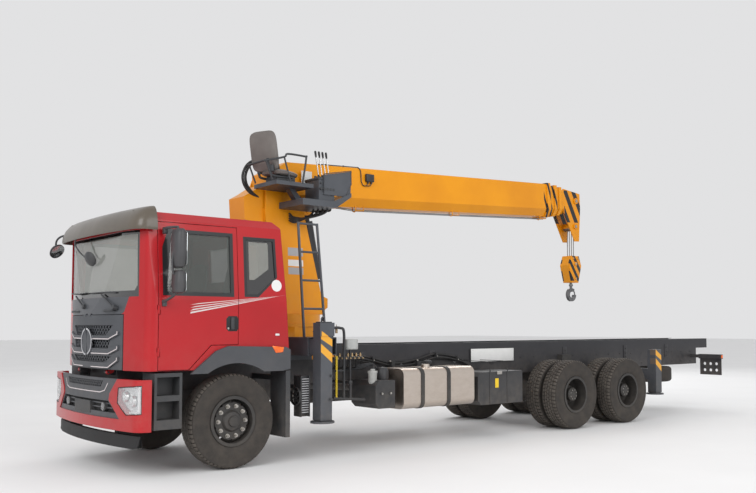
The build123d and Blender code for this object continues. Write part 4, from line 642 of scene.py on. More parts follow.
def addTyre(form, axleY, pattern):
    radius, seat, bead = tyreLook["radius"], tyreLook["rimSeat"], tyreLook["beadHalf"]
    wall = []      # from the rim seat out to the shoulder, with its rings and ribs
    for share, bulge in ((0.0, 0.0), (0.1, 0.55), (0.16, 0.62), (0.17, 0.66), (0.3, 0.88), (0.42, 0.985),
                         (0.44, 1.0), (0.56, 1.0), (0.58, 0.985), (0.7, 0.95), (0.86, 0.86), (0.88, 0.89),
                         (0.92, 0.88), (0.94, 0.84), (0.985, 0.8)):
        wall.append((seat + share * (0.955 * radius - seat), bead + (tyreLook["halfWidth"] - bead) * bulge))
    crownLine = [(crown(across) - tyreLook["groove"], across)
                 for across in (0.104, 0.08, 0.05, 0.02, -0.02, -0.05, -0.08, -0.104)]
    outline = [(seat - 0.01, -0.1)] + [(r, -y) for r, y in wall] + list(reversed(crownLine))
    outline += [(r, y) for r, y in reversed(wall)] + [(seat - 0.01, 0.1)]
    addSpin(form, outline, (0, axleY, 0), (0, 1, 0), steps=72)
    pitch = 2 * math.pi / pattern["blocks"]
    rowGap, shoulderGap = pattern["gaps"]
    for number in range(pattern["blocks"]):
        start = number * pitch
        for row, (low, high) in enumerate(pattern["rows"]):
            middle = (low + high) / 2
            shift = 0.5 * pitch * (row % 2)
            stations = [(low, crown(low), 0), (middle, crown(middle), 1), (high, crown(high), 0)]
            addTreadBlock(form, stations, start + shift, start + shift + pitch * (1 - rowGap), axleY,
                          0.22 * pitch)
        for side in (1, -1):
            edge = side * tyreLook["treadHalf"]
            stations = [(side * 0.071, crown(0.071), 0), (side * 0.088, crown(0.088), 0.6),
                        (edge, crown(edge), 0), (side * 0.117, 0.966 * radius, 0),
                        (side * 0.125, 0.93 * radius, 0)]
            addTreadBlock(form, stations, start, start + pitch * (1 - shoulderGap), axleY, 0.2 * pitch)


def tyrePiece(name, wheelX, side, pattern, body, replaced):
    form = bmesh.new()
    for y in pattern["ys"]:
        addTyre(form, side * y, pattern)
    piece = makePiece(name, form, None, ["tyreRubber", "treadRubber"])
    piece.location = (wheelX, 0, tyreLook["radius"])
    bpy.context.view_layer.update()
    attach(piece, body)
    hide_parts(replaced)


for side, word in leftRight:
    tyrePiece("front_tread_tyre_" + word, frontAxleX, side, tyreLook["front"], "front_wheel_" + word,
              "front_tyre_" + word)
    for number, axleX in enumerate(rearAxles, start=1):
        place = "%d_%s" % (number, word)
        tyrePiece("rear_tread_tyres_" + place, axleX, side, tyreLook["rear"], "rear_wheel_" + place,
                  "rear_tyres_" + place)

nutLook = {
    "circle": 0.1675, "count": 10, "radius": 0.0165, "height": 0.030, "washer": 0.006,
    # face of the hub, radius of the cap's ring of bolts, face of the cap
    "front": (1.076, 0.044, 1.112), "rear": (0.985, 0.07, 1.19),
}


def wheelNuts(name, wheelX, side, faces, body):
    form = bmesh.new()
    face, capRadius, capFace = faces
    washerEnd, nutEnd = face + nutLook["washer"], face + nutLook["height"]
    for number in range(nutLook["count"]):
        angle = 2 * math.pi * number / nutLook["count"]
        x = wheelX + nutLook["circle"] * math.cos(angle)
        z = tyreLook["radius"] + nutLook["circle"] * math.sin(angle)
        addBar(form, (x, side * face, z), (x, side * washerEnd, z), nutLook["radius"] * 1.45, 18)
        addBar(form, (x, side * washerEnd, z), (x, side * nutEnd, z), nutLook["radius"] * 1.12, 6)
        addBar(form, (x, side * nutEnd, z), (x, side * (nutEnd + 0.012), z), 0.009, 12, endRadius=0.006)
    for ring in range(8):
        angle = 2 * math.pi * (ring + 0.5) / 8
        x = wheelX + capRadius * math.cos(angle)
        z = tyreLook["radius"] + capRadius * math.sin(angle)
        addBar(form, (x, side * capFace, z), (x, side * (capFace + 0.009), z), 0.008, 6)
    makePiece(name, form, body, ["nutSteel"])


for side, word in leftRight:
    wheelNuts("front_nuts_" + word, frontAxleX, side, nutLook["front"], "front_wheel_" + word)
    for number, axleX in enumerate(rearAxles, start=1):
        place = "%d_%s" % (number, word)
        wheelNuts("rear_nuts_" + place, axleX, side, nutLook["rear"], "rear_wheel_" + place)
print("wheels made")

# sheets that follow the curved front of the cab and bumper


def bumperPlan():
    nose, corner = 1.270, (1.150, 1.155)
    radius = (corner[1] ** 2 + (nose - corner[0]) ** 2) / (2 * (nose - corner[0]))
    points = [(nose - radius + math.sqrt(radius ** 2 - (0.055 * k) ** 2), 0.055 * k) for k in range(22)]
    points[-1] = corner
    points += [(1.129, 1.180), (1.102, 1.2035), (1.071, 1.2155), (1.036, 1.2225), (1.0, 1.225)]
    return points


def cabPlan():
    return [(1.205 - 0.1516 * (0.05 * k) ** 2, 0.05 * k) for k in range(22)]


def planSpot(plan, run, lift):      # point at a run along the plan from the middle, lifted off it
    side = -1 if run < 0 else 1
    left = abs(run)
    for start, end in zip(plan, plan[1:]):
        length = math.hypot(end[0] - start[0], end[1] - start[1])
        if left <= length or end is plan[-1]:
            break
        left -= length
    alongX, alongY = (end[0] - start[0]) / length, (end[1] - start[1]) / length
    return (start[0] + alongX * left + alongY * lift, side * (start[1] + alongY * left - alongX * lift))


def cutPolygon(corners, across, up, offset):      # keeps where across * s + up * z + offset > 0
    kept = []
    for start, end in zip(corners, corners[1:] + corners[:1]):
        before, to = (across * point[0] + up * point[1] + offset for point in (start, end))
        if before >= 0:
            kept.append(start)
        if (before > 1e-9 and to < -1e-9) or (before < -1e-9 and to > 1e-9):
            share = before / (before - to)
            kept.append((start[0] + share * (end[0] - start[0]), start[1] + share * (end[1] - start[1])))
    return kept


def addSkin(form, plan, corners, lift, depth, finish=0, step=0.05, bothSides=True):
    outlines = [corners]
    if bothSides and min(s for s, z in corners) >= -1e-6 and max(s for s, z in corners) > 0:
        outlines.append([(-s, z) for s, z in reversed(corners)])
    for outline in outlines:
        spots = {}

        def corner(point, rise):
            key = (round(point[0], 5), round(point[1], 5), rise)
            if key not in spots:
                x, y = planSpot(plan, point[0], rise)
                spots[key] = form.verts.new(at(x, y, point[1]))
            return spots[key]
        low, high = min(s for s, z in outline), max(s for s, z in outline)
        for number in range(math.floor(low / step), math.ceil(high / step)):
            left, right = number * step, (number + 1) * step
            strip = cutPolygon(cutPolygon(outline, 1, 0, -left), -1, 0, right)
            strip = [point for k, point in enumerate(strip) if math.dist(point, strip[k - 1]) > 1e-5]
            if len(strip) < 3:
                continue
            for rise in (lift, lift - depth):
                markFaces([form.faces.new([corner(point, rise) for point in strip])], finish)
            for start, end in zip(strip, strip[1:] + strip[:1]):
                shared = False      # the edge between two strips stays open
                for line in (left, right):
                    on = abs(start[0] - line) < 1e-6 and abs(end[0] - line) < 1e-6
                    shared = shared or (on and low + 1e-6 < line < high - 1e-6)
                if not shared:
                    markFaces([form.faces.new((corner(start, lift), corner(end, lift), corner(end, lift - depth),
                                               corner(start, lift - depth)))], finish)


def addStripe(form, plan, points, width, lift, finish, bothSides=True):
    for start, end in zip(points, points[1:]):
        length = math.dist(start, end)
        acrossS, acrossZ = -(end[1] - start[1]) / length * width / 2, (end[0] - start[0]) / length * width / 2
        strip = [(start[0] - acrossS, start[1] - acrossZ), (end[0] - acrossS, end[1] - acrossZ),
                 (end[0] + acrossS, end[1] + acrossZ), (start[0] + acrossS, start[1] + acrossZ)]
        addSkin(form, plan, strip, lift, 0.004, finish, bothSides=bothSides)


def addLattice(form, plan, outline, pitch, bar, lift, depth, finish):
    lowS, highS = min(s for s, z in outline), max(s for s, z in outline)
    lowZ, highZ = min(z for s, z in outline), max(z for s, z in outline)
    tall = highZ - lowZ
    count = int((highS - lowS + 2 * tall) / pitch) + 2
    for slant in (1, -1):
        for number in range(count):
            foot = lowS - tall + number * pitch
            corners = [(foot, lowZ), (foot + bar, lowZ), (foot + bar + tall * 0.95, highZ),
                       (foot + tall * 0.95, highZ)]
            if slant < 0:
                corners = [(lowS + highS - s, z) for s, z in reversed(corners)]
            for start, end in zip(outline, outline[1:] + outline[:1]):
                across, up = start[1] - end[1], end[0] - start[0]
                corners = cutPolygon(corners, across, up, -(across * start[0] + up * start[1]))
            corners = [point for k, point in enumerate(corners) if math.dist(point, corners[k - 1]) > 1e-5]
            if len(corners) > 2:
                addSkin(form, plan, corners, lift - 0.002 * (slant < 0), depth, finish, bothSides=False)


# bumper: red shell round a grey insert with a slotted band, a lower opening, lamps and a dark bar under it
bumperLook = {
    "wall": 0.05, "insetDepth": 0.012, "openingDepth": 0.055, "latticePitch": 0.052, "latticeBar": 0.013,
    # plate holder: half width, low, high
    "slats": (0.70, 0.745), "slatHeight": 0.014, "plateHolder": (0.23, 0.63, 0.763),
    "fogLamp": (0.52, 0.715), "fogRadius": 0.05, "upperBracket": (0.36, 0.43), "lowerBracket": (0.62, 0.70),
}
bumperRuns = bumperPlan()
bumperRed = [
    [(0.7524, 0.933), (0.855, 0.933), (1.235, 0.961), (1.235, 1.02), (0.835, 1.02)],
    [(1.235, 0.49), (1.335, 0.49), (1.335, 1.02), (1.235, 1.02)],
    [(0.668, 0.796), (0.6983, 0.77), (0.843, 0.77), (0.855, 0.933), (0.7524, 0.933), (0.684, 0.861)],
    [(0.6983, 0.77), (0.888, 0.607), (1.007, 0.607), (1.007, 0.658), (0.843, 0.77)],
    [(1.007, 0.607), (1.235, 0.607), (1.235, 0.674), (1.007, 0.658)],
    [(0, 0.49), (1.235, 0.49), (1.235, 0.607), (0, 0.607)],
]
insertGrey = [
    [(0, 0.784), (0.682, 0.784), (0.668, 0.796), (0, 0.796)],
    [(0, 0.796), (0.668, 0.796), (0.684, 0.861), (0, 0.861)],
    [(0, 0.861), (0.684, 0.861), (0.7438, 0.924), (0, 0.924)],
    [(0.47, 0.924), (0.7438, 0.924), (0.8065, 0.990), (0.52, 0.990)],
    [(0, 0.990), (0.8065, 0.990), (0.835, 1.02), (0, 1.02)],
    [(0.640, 0.784), (0.800, 0.664), (0.8217, 0.664), (0.682, 0.784)],
    [(0, 0.607), (0.888, 0.607), (0.8217, 0.664), (0, 0.664)],
]

form = bmesh.new()
for corners in bumperRed:
    addSkin(form, bumperRuns, corners, 0.0, bumperLook["wall"])
for corners in insertGrey:
    addSkin(form, bumperRuns, corners, -bumperLook["insetDepth"], 0.04, 1)
# near-black sheet behind the lower opening and the slotted band: painted shade of the cavity behind them
addSkin(form, bumperRuns, [(-0.9, 0.6), (0.9, 0.6), (0.84, 1.01), (-0.84, 1.01)], -bumperLook["openingDepth"],
        0.01, 2)
slottedBand = [(-0.47, 0.924), (0.47, 0.924), (0.52, 0.990), (-0.52, 0.990)]
addLattice(form, bumperRuns, slottedBand, bumperLook["latticePitch"], bumperLook["latticeBar"], -0.018, 0.014, 1)
for low in bumperLook["slats"]:
    high = low + bumperLook["slatHeight"]
    addSkin(form, bumperRuns, [(0, low), (0.69, low), (0.69, high), (0, high)], -0.034, 0.012, 1)
half, low, high = bumperLook["plateHolder"]
addSkin(form, bumperRuns, [(-half, low), (half, low), (half, high), (-half, high)], -0.006, 0.05, 3)
lampY, lampZ = bumperLook["fogLamp"]
for side in (1, -1):
    silverLine = [(0, 0.867), (side * 0.455, 0.867), (side * 0.56, 0.89), (side * 0.626, 0.968)]
    addStripe(form, bumperRuns, silverLine, 0.009, -0.010, 4, False)
    addBar(form, at(1.190, side * lampY, lampZ), at(1.228, side * lampY, lampZ), bumperLook["fogRadius"], 28, 3)
    addBar(form, at(1.224, side * lampY, lampZ), at(1.236, side * lampY, lampZ), bumperLook["fogRadius"] * 0.82,
           28, 5)
    addSideBox(form, side, (1.04, 1.21), bumperLook["upperBracket"], (0.86, 1.0), 0.004, 2)
    addSideBox(form, side, (1.02, 1.14), bumperLook["lowerBracket"], (0.36, 0.52), 0.004, 2)
darkBar = [(-1.21, 0.445), (-1.17, 0.33), (-1.05, 0.31), (1.05, 0.31), (1.17, 0.33), (1.21, 0.445)]
addSkin(form, bumperRuns, darkBar, -0.055, 0.05, 2)
makePiece("bumper_cover", form, "chassis", ["cabRed", "trimGrey", "sealAndShadeBlack", "stepBlack", "decalSilver",
                                            "lensClear"],
          replaced="bumper")

# headlamps: silver floor, two bowls with rings, a bright strip and a clear lens over them
headlampLook = {
    "outline": [(0.855, 0.933), (0.843, 0.77), (1.007, 0.658), (1.235, 0.674), (1.235, 0.961)],
    "bowls": ((0.95, 0.842, 0.058), (1.085, 0.800, 0.062)),      # run from the middle, height, radius
    "rings": ((1.0, 0.026), (0.8, 0.016), (0.55, 0.007)),      # share of the radius, height over the floor
    "ticks": 7, "rimWidth": 0.010,
}
form = bmesh.new()
addSkin(form, bumperRuns, headlampLook["outline"], -0.042, 0.006, 0, step=0.03)
for side in (1, -1):
    for run, height, radius in headlampLook["bowls"]:
        x, y = planSpot(bumperRuns, side * run, -0.04)
        for share, sunk in headlampLook["rings"]:
            addBar(form, at(x - 0.002, y, height), at(x + sunk, y, height), radius * share, 32,
                   endRadius=radius * (share - 0.12))
        addBar(form, at(x + 0.006, y, height), at(x + 0.03, y, height), 0.014, 16, 1)
    for k in range(headlampLook["ticks"]):
        run, height = 0.90 + 0.04 * k, 0.915 + 0.003 * k
        tick = [(side * run, height), (side * (0.925 + 0.04 * k), 0.93 + 0.003 * k)]
        addStripe(form, bumperRuns, tick, 0.012, -0.03, 1, False)
    addStripe(form, bumperRuns, [(side * 1.03, 0.682), (side * 1.205, 0.694), (side * 1.205, 0.93)], 0.016,
              -0.024, 1, False)
makePiece("headlamp_bowls", form, "chassis", ["lampSilver", "labelWhite"])
form = bmesh.new()
addSkin(form, bumperRuns, headlampLook["outline"], -0.003, 0.004, 0, step=0.03)
makePiece("headlamp_lenses", form, "chassis", ["lampLens"])
form = bmesh.new()
for side in (1, -1):
    closed = [(side * s, z) for s, z in headlampLook["outline"]]
    addStripe(form, bumperRuns, closed + closed[:1], headlampLook["rimWidth"], 0.0, 0, False)
makePiece("headlamp_rims", form, "chassis", ["sealAndShadeBlack"])

# grille panel: three set-back tiers of diamonds, raised bars with silver lines, a blank oval
grilleLook = {
    "half": 0.75, "wall": 0.035, "heights": (1.104, 1.180, 1.245, 1.330, 1.420, 1.469, 1.579, 1.690),
    # openings by their low height: half width low and high; raised bars: low, high, rise of the ends
    "tiers": {1.180: (0.405, 0.55), 1.330: (0.470, 0.520), 1.469: (0.420, 0.570)},
    "bars": ((1.115, 1.180, 0.070), (1.262, 1.330, 0.044), (1.420, 1.469, 0.044)),
    "latticePitch": 0.062, "latticeBar": 0.015, "ovalHeight": 1.398,
    "ovalHalves": (0.158, 0.152), "ovalSteps": 24,
}
grilleRuns = cabPlan()
half = grilleLook["half"]
form = bmesh.new()
for lowZ, highZ in zip(grilleLook["heights"], grilleLook["heights"][1:]):
    lowS, highS = grilleLook["tiers"].get(lowZ, (0, 0))
    addSkin(form, grilleRuns, [(lowS, lowZ), (half, lowZ), (half, highZ), (highS, highZ)], 0.0,
            grilleLook["wall"])
    if lowS:
        opening = [(-lowS, lowZ), (lowS, lowZ), (highS, highZ), (-highS, highZ)]
        addLattice(form, grilleRuns, opening, grilleLook["latticePitch"], grilleLook["latticeBar"], -0.012, 0.014,
                   0)
# near-black sheet behind the diamond openings: painted shade of the set-back tiers
addSkin(form, grilleRuns, [(-0.74, 1.11), (0.74, 1.11), (0.74, 1.6), (-0.74, 1.6)], -0.034, 0.006, 1)
for lowZ, highZ, rise in grilleLook["bars"]:
    barEnd = [(0.51, lowZ), (0.69, lowZ + rise + 0.012), (0.69, highZ + rise - 0.006), (0.49, highZ)]
    addSkin(form, grilleRuns, [(0, lowZ), barEnd[0], barEnd[3], (0, highZ)], 0.016, 0.03)
    addSkin(form, grilleRuns, barEnd, 0.016, 0.03)
    for side in (1, -1):
        silverLine = [(side * 0.12, lowZ + 0.012), (side * 0.505, lowZ + 0.012),
                      (side * 0.672, lowZ + rise + 0.022), (side * 0.672, lowZ + rise + 0.05)]
        addStripe(form, grilleRuns, silverLine, 0.009, 0.018, 2, False)
middle, (halfWide, halfTall) = grilleLook["ovalHeight"], grilleLook["ovalHalves"]
for number in range(grilleLook["ovalSteps"]):
    turnA, turnB = (2 * math.pi * k / grilleLook["ovalSteps"] for k in (number, number + 1))
    ring = [(share * halfWide * math.cos(turn), middle + share * halfTall * math.sin(turn)) for share, turn in
            ((1, turnA), (1, turnB), (0.87, turnB), (0.87, turnA))]
    addSkin(form, grilleRuns, ring, 0.030, 0.02, 3, bothSides=False)
    addSkin(form, grilleRuns, [(0, middle), ring[3], ring[2]], 0.022, 0.02, 0, bothSides=False)
makePiece("grille_face", form, "grille", ["trimGrey", "sealAndShadeBlack", "decalSilver", "badgeChrome"],
          replaced="grille_panel")
print("front made")

# mirrors with tapered round housings, arms and glass; a kerb mirror on the far corner


def ellipsePoint(halfWide, halfDeep, turn, power=2.6):
    c, s = math.cos(turn), math.sin(turn)
    return (math.copysign(abs(c) ** (2 / power), c) * halfWide,
            math.copysign(abs(s) ** (2 / power), s) * halfDeep)


# levels: height, half width in y, half depth in x
def addHousing(form, middleX, middleY, levels, sides=40, finish=0):
    rings = []
    for height, halfWide, halfDeep in levels:
        ring = []
        for k in range(sides):
            y, x = ellipsePoint(halfWide, halfDeep, 2 * math.pi * k / sides)
            x = max(x, -0.75 * halfDeep) if x < 0 else x
            ring.append(form.verts.new((middleX + x, middleY + y, height)))
        rings.append(ring)
    for near, far in zip(rings, rings[1:]):
        for k in range(sides):
            markFaces([form.faces.new((near[k], near[(k + 1) % sides], far[(k + 1) % sides], far[k]))], finish)
    markFaces([form.faces.new(list(reversed(rings[0]))), form.faces.new(rings[-1])], finish)


mirrorLook = {
    "middleY": 1.342, "armRadius": 0.014, "footHeights": (2.58, 1.82),
    # housings: x, shift inward, low and high end; rings as height from the low end, half width, half depth;
    # rings measured down from the high end
    "big": (0.785, 0.0, 2.17, 2.575, ((0.0, 0.070, 0.03), (0.012, 0.088, 0.045), (0.06, 0.098, 0.058),
                                      (0.22, 0.104, 0.066)),
            ((0.07, 0.106, 0.064), (0.02, 0.098, 0.052), (0.0, 0.078, 0.034))),
    "small": (0.780, 0.01, 1.905, 2.145, ((0.0, 0.062, 0.03), (0.015, 0.084, 0.048), (0.1, 0.094, 0.06)),
              ((0.03, 0.09, 0.05), (0.0, 0.07, 0.03))),
    "arms": ([(0.865, 1.15, 2.58), (0.850, 1.20, 2.595), (0.80, 1.30, 2.597), (0.792, 1.335, 2.585),
              (0.790, 1.34, 2.50)],
             [(0.790, 1.34, 2.50), (0.84, 1.335, 2.34), (0.845, 1.33, 2.15), (0.80, 1.33, 2.08)],
             [(0.80, 1.33, 1.93), (0.815, 1.30, 1.885), (0.85, 1.20, 1.835), (0.865, 1.15, 1.82)]),
    "glass": ((2.20, 2.55, 0.09, 0.7355), (1.925, 2.13, 0.078, 0.7345)),      # low, high, half width, x
}
for side, word in leftRight:
    form = bmesh.new()
    middleY = side * mirrorLook["middleY"]
    for x, inward, low, high, lowRings, highRings in (mirrorLook["big"], mirrorLook["small"]):
        levels = [(low + rise, wide, deep) for rise, wide, deep in lowRings]
        levels += [(high - drop, wide, deep) for drop, wide, deep in highRings]
        addHousing(form, ahead(x), middleY - side * inward, levels)
    for points, share in zip(mirrorLook["arms"], (1, 0.9, 1)):
        addTube(form, [at(x, side * y, z) for x, y, z in points], mirrorLook["armRadius"] * share, 12)
    for height in mirrorLook["footHeights"]:
        addSideBox(form, side, (0.825, 0.873), (1.128, 1.175), (height - 0.045, height + 0.025), 0.008)
    makePiece("mirror_housings_" + word, form, "door_" + word, ["mirrorPlastic"],
              replaced="mirrors_" + word)
    form = bmesh.new()
    for low, high, half, backX in mirrorLook["glass"]:
        left, right, cut = middleY - half, middleY + half, 0.02
        pane = [(left, low + cut), (left + cut, low), (right - cut, low), (right, low + cut), (right, high - cut),
                (right - cut, high), (left + cut, high), (left, high - cut)]
        addPrism(form, pane, 0, ahead(backX - 0.003), ahead(backX + 0.003), bevel=0.002)
    makePiece("mirror_glass_" + word, form, "door_" + word, ["mirrorGlass"])

# round mirrors in front: one over the kerb corner, one hung over the windscreen
roundMirrors = (
    {"middle": (1.172, -1.195, 2.49), "facing": (0.3, -0.75, 0.55),
     "arm": [(1.04, -1.02, 2.68), (1.13, -1.12, 2.675), (1.175, -1.20, 2.62)], "armRadius": (0.012, 12),
     "armEnd": 0.03, "steps": 40,
     "shell": [(0.0, 0.046), (0.036, 0.044), (0.076, 0.028), (0.096, 0.004), (0.096, -0.010), (0.088, -0.013)],
     "glass": [(0.0, -0.0135), (0.06, -0.0125), (0.0885, -0.0135)]},
    {"middle": (1.205, -0.01, 2.32), "facing": (0.85, 0.25, -0.35),
     "arm": [(1.185, -0.46, 2.62), (1.228, -0.42, 2.52), (1.226, -0.24, 2.40)], "armRadius": (0.009, 10),
     "armEnd": 0.02, "steps": 36,
     "shell": [(0.0, 0.028), (0.04, 0.024), (0.072, 0.010), (0.086, -0.004), (0.084, -0.014), (0.076, -0.016)],
     "glass": [(0.0, -0.015), (0.05, -0.0145), (0.077, -0.016)]},
)
form = bmesh.new()
for look in roundMirrors:
    middle, facing = Vector(at(*look["middle"])), Vector(look["facing"]).normalized()
    addTube(form, [at(*point) for point in look["arm"]] + [tuple(middle + facing * look["armEnd"])],
            *look["armRadius"])
    addSpin(form, look["shell"], middle, facing, look["steps"])
    addSpin(form, look["glass"], middle, facing, look["steps"], 1)
makePiece("front_mirrors", form, "cab", ["mirrorPlastic", "mirrorGlass"])

# wipers: pivot caps, arms and blades near the glass, and the cowl's grab handles
wiperLook = {
    "capRadius": 0.026, "armRadius": 0.0095, "bladeRadius": 0.0065, "handleYs": (0.50, -0.45),
    # pivot, elbow, ends of the blade
    "arms": (((1.165, 0.642, 1.765), (1.185, 0.33, 1.90), ((1.188, -0.02, 1.935), (1.150, 0.61, 1.925))),
             ((1.200, -0.133, 1.785), (1.190, -0.42, 1.90), ((1.198, -0.10, 1.942), (1.120, -0.79, 1.955)))),
}
form = bmesh.new()
for (pivotX, pivotY, pivotZ), (elbowX, elbowY, elbowZ), bladeEnds in wiperLook["arms"]:
    addBar(form, at(pivotX - 0.02, pivotY, pivotZ - 0.005), at(pivotX + 0.03, pivotY, pivotZ + 0.006),
           wiperLook["capRadius"], 20)
    addTube(form, [at(pivotX + 0.018, pivotY, pivotZ),
                   at(pivotX + 0.02, (pivotY * 2 + elbowY) / 3, pivotZ + 0.05),
                   at(elbowX + 0.012, elbowY, elbowZ + 0.012)], wiperLook["armRadius"], 8)
    addTube(form, [at(*bladeEnds[0]), at(elbowX + 0.008, elbowY, elbowZ + 0.035), at(*bladeEnds[1])],
            wiperLook["bladeRadius"], 8)
    rubber = [at(x - 0.008, y, z + 0.004) for x, y, z in bladeEnds]
    addTube(form, [rubber[0], at(elbowX - 0.004, elbowY, elbowZ + 0.038), rubber[1]], 0.0045, 6)
for y in wiperLook["handleYs"]:
    addTube(form, [at(1.150, y + 0.11, 1.742), at(1.196, y + 0.10, 1.735), at(1.196, y - 0.10, 1.735),
                   at(1.150, y - 0.11, 1.742)], 0.010, 10)
makePiece("wipers", form, "cab", ["stepBlack"])

# sun visor: a rounded shell from a low lip up to the roof; each path runs from the corner to the middle
visorLook = {
    "lip": [(0.935, 1.163), (1.02, 1.163), (1.085, 1.152), (1.130, 1.120), (1.160, 1.060), (1.180, 0.960),
            (1.200, 0.760), (1.222, 0.500), (1.234, 0.250), (1.238, 0.0)],
    "roof": [(0.935, 1.060), (0.950, 1.050), (0.962, 1.030), (0.972, 1.000), (0.982, 0.950), (0.992, 0.860),
             (1.004, 0.680), (1.016, 0.450), (1.022, 0.225), (1.024, 0.0)],
    # share of the way from lip to roof, height
    "rows": ((0.04, 2.572), (0.0, 2.600), (0.06, 2.660), (0.20, 2.725), (0.45, 2.785), (0.75, 2.820),
             (1.0, 2.832)),
    "wall": 0.008, "bracketYs": (-0.9, -0.3, 0.3, 0.9),
}
form = bmesh.new()
halfPaths = (visorLook["lip"], visorLook["roof"])
lipPath, roofPath = (path + [(x, -y) for x, y in reversed(path[:-1])] for path in halfPaths)
rows = []
for share, height in visorLook["rows"]:
    rows.append([form.verts.new(at(low[0] + share * (high[0] - low[0]), low[1] + share * (high[1] - low[1]),
                                   height))
                 for low, high in zip(lipPath, roofPath)])
for near, far in zip(rows, rows[1:]):
    for k in range(len(near) - 1):
        form.faces.new((near[k], near[k + 1], far[k + 1], far[k]))
top = [form.verts.new(at(0.935, 1.02 - 2.04 * k / (len(roofPath) - 1), 2.834)) for k in range(len(roofPath))]
for k in range(len(top) - 1):
    form.faces.new((rows[-1][k], rows[-1][k + 1], top[k + 1], top[k]))
bmesh.ops.recalc_face_normals(form, faces=form.faces[:])
bmesh.ops.solidify(form, geom=form.faces[:], thickness=visorLook["wall"])
for y in visorLook["bracketYs"]:
    addBox(form, at(0.96, y - 0.012, 2.70), at(1.10, y + 0.012, 2.79), 0.003)
makePiece("visor_shell", form, "cab", ["visorSmoke"], smoothAngle=50, replaced="roof_visor")

# amber lamps on the roof's front corners and in the arch trims, small white side lamps
sideLampLook = {
    "roofX": 0.895, "roofY": 0.90,
    "arch": [(-0.447, 1.347), (-0.608, 1.330), (-0.594, 1.272), (-0.500, 1.264)],
}
form = bmesh.new()
for side in (1, -1):
    x, y = sideLampLook["roofX"], side * sideLampLook["roofY"]
    addSpin(form, [(0.0, 0.052), (0.030, 0.050), (0.044, 0.034), (0.046, 0.0)], at(x, y, 2.785), (0, 0, 1), 32, 0)
    addSpin(form, [(0.046, 0.012), (0.052, 0.012), (0.054, 0.0)], at(x, y, 2.779), (0, 0, 1), 32, 1)
    low, high = sorted((side * 1.170, side * 1.192))
    addPrism(form, [(ahead(x), z) for x, z in sideLampLook["arch"]], 1, low, high, 0, 0.006)
    addSideBox(form, side, (-0.565, -0.512), (1.140, 1.160), (1.46, 1.484), 0.006, 2)
makePiece("side_lamps", form, "cab", ["lensAmber", "stepBlack", "labelWhite"])

# door handles in black cups
handleLook = {"cup": [(-0.035, 1.54), (-0.012, 1.512), (0.09, 1.512), (0.118, 1.54), (0.118, 1.65), (0.09, 1.68),
                      (-0.012, 1.68), (-0.035, 1.65)],
              "grip": ((0.022, 0.066), (1.53, 1.668)), "lock": (0.095, 1.545)}
for side, word in leftRight:
    form = bmesh.new()
    low, high = sorted((side * 1.146, side * 1.1515))
    addPrism(form, [(ahead(x), z) for x, z in handleLook["cup"]], 1, low, high, 0, 0.0025)
    gripXs, gripZs = handleLook["grip"]
    addSideBox(form, side, gripXs, (1.150, 1.168), gripZs, 0.009, 1)
    lockX, lockZ = handleLook["lock"]
    addStud(form, side, lockX, (1.150, 1.157), lockZ, 0.011, 20, 2)
    makePiece("door_handle_" + word, form, "door_" + word, ["sealAndShadeBlack", "stepBlack", "nutSteel"])

# cab interior: crowned cushions with seams, plinths, dash and steering wheel


def addPad(form, centre, axes, half, rise, power=3.5, rings=12, sides=44, seams=(0.46, 0.72), finish=0):
    # a closed crowned cushion: axes are its long, wide and upward directions
    longAxis, wideAxis, upAxis = (Vector(axis).normalized() for axis in axes)
    centre = Vector(centre)
    layers = []
    for k in range(1, rings + 1):
        share = k / rings
        height = rise * (1 - share ** 4)
        for seam in seams:
            height -= 0.006 * math.exp(-((share - seam) / 0.03) ** 2)
        layers.append((share, height))
    layers += [(1.012, -0.1 * rise), (1.018, -0.14 * rise), (1.0, -0.2 * rise), (0.985, -0.8 * rise),
               (0.92, -rise)]
    tip = form.verts.new(centre + upAxis * rise)
    last = None
    for share, height in layers:
        ring = []
        for j in range(sides):
            across, along = ellipsePoint(half[1] * share, half[0] * share, 2 * math.pi * j / sides, power)
            ring.append(form.verts.new(centre + longAxis * along + wideAxis * across + upAxis * height))
        for j in range(sides):
            after = (j + 1) % sides
            corners = (last[j], ring[j], ring[after], last[after]) if last else (tip, ring[j], ring[after])
            markFaces([form.faces.new(corners)], finish)
        last = ring
    markFaces([form.faces.new(list(reversed(last)))], finish)


cabSeatLook = {"ys": (0.52, -0.52), "cushionHeight": 1.83, "backHeight": 2.10, "fill": 0.6}
form = bmesh.new()
for y in cabSeatLook["ys"]:
    addPad(form, at(-0.09, y, cabSeatLook["cushionHeight"]), ((1, 0, 0.08), (0, 1, 0), (-0.08, 0, 1)),
           (0.25, 0.235), 0.06)
    addPad(form, at(-0.335, y, cabSeatLook["backHeight"]), ((-0.2, 0, 1), (0, 1, 0), (1, 0, 0.2)), (0.26, 0.23),
           0.055)
cushions = makePiece("cab_cushions", form, "cab", ["cabCloth"], smoothAngle=60)

# seat plinths and backs, tunnel, dash with vents, and the steering wheel on its column
dashLook = {
    "outline": [(0.69, 1.62), (0.80, 1.34), (0.945, 1.34), (0.945, 1.86), (0.86, 1.885), (0.74, 1.85)],
    "half": 0.95, "ventYs": (-0.75, -0.25, 0.22, 0.80),
    "wheel": (0.485, 0.52, 1.965), "wheelRadius": 0.215, "wheelThick": 0.016, "spokes": (0.5, 2.64, 4.71),
}
form = bmesh.new()
for y in cabSeatLook["ys"]:
    addBox(form, at(-0.34, y - 0.2, 1.335), at(0.14, y + 0.2, 1.765), 0.03)
    addBox(form, at(-0.42, y - 0.19, 1.75), at(-0.395, y + 0.19, 2.33), 0.01)
addBox(form, at(-0.16, -0.22, 1.335), at(0.66, 0.22, 1.60), 0.05)
addPrism(form, [(ahead(x), z) for x, z in dashLook["outline"]], 1, -dashLook["half"], dashLook["half"], 0, 0.02)
for y in dashLook["ventYs"]:
    addBox(form, at(0.70, y - 0.06, 1.74), at(0.745, y + 0.06, 1.80), 0.006, 1)
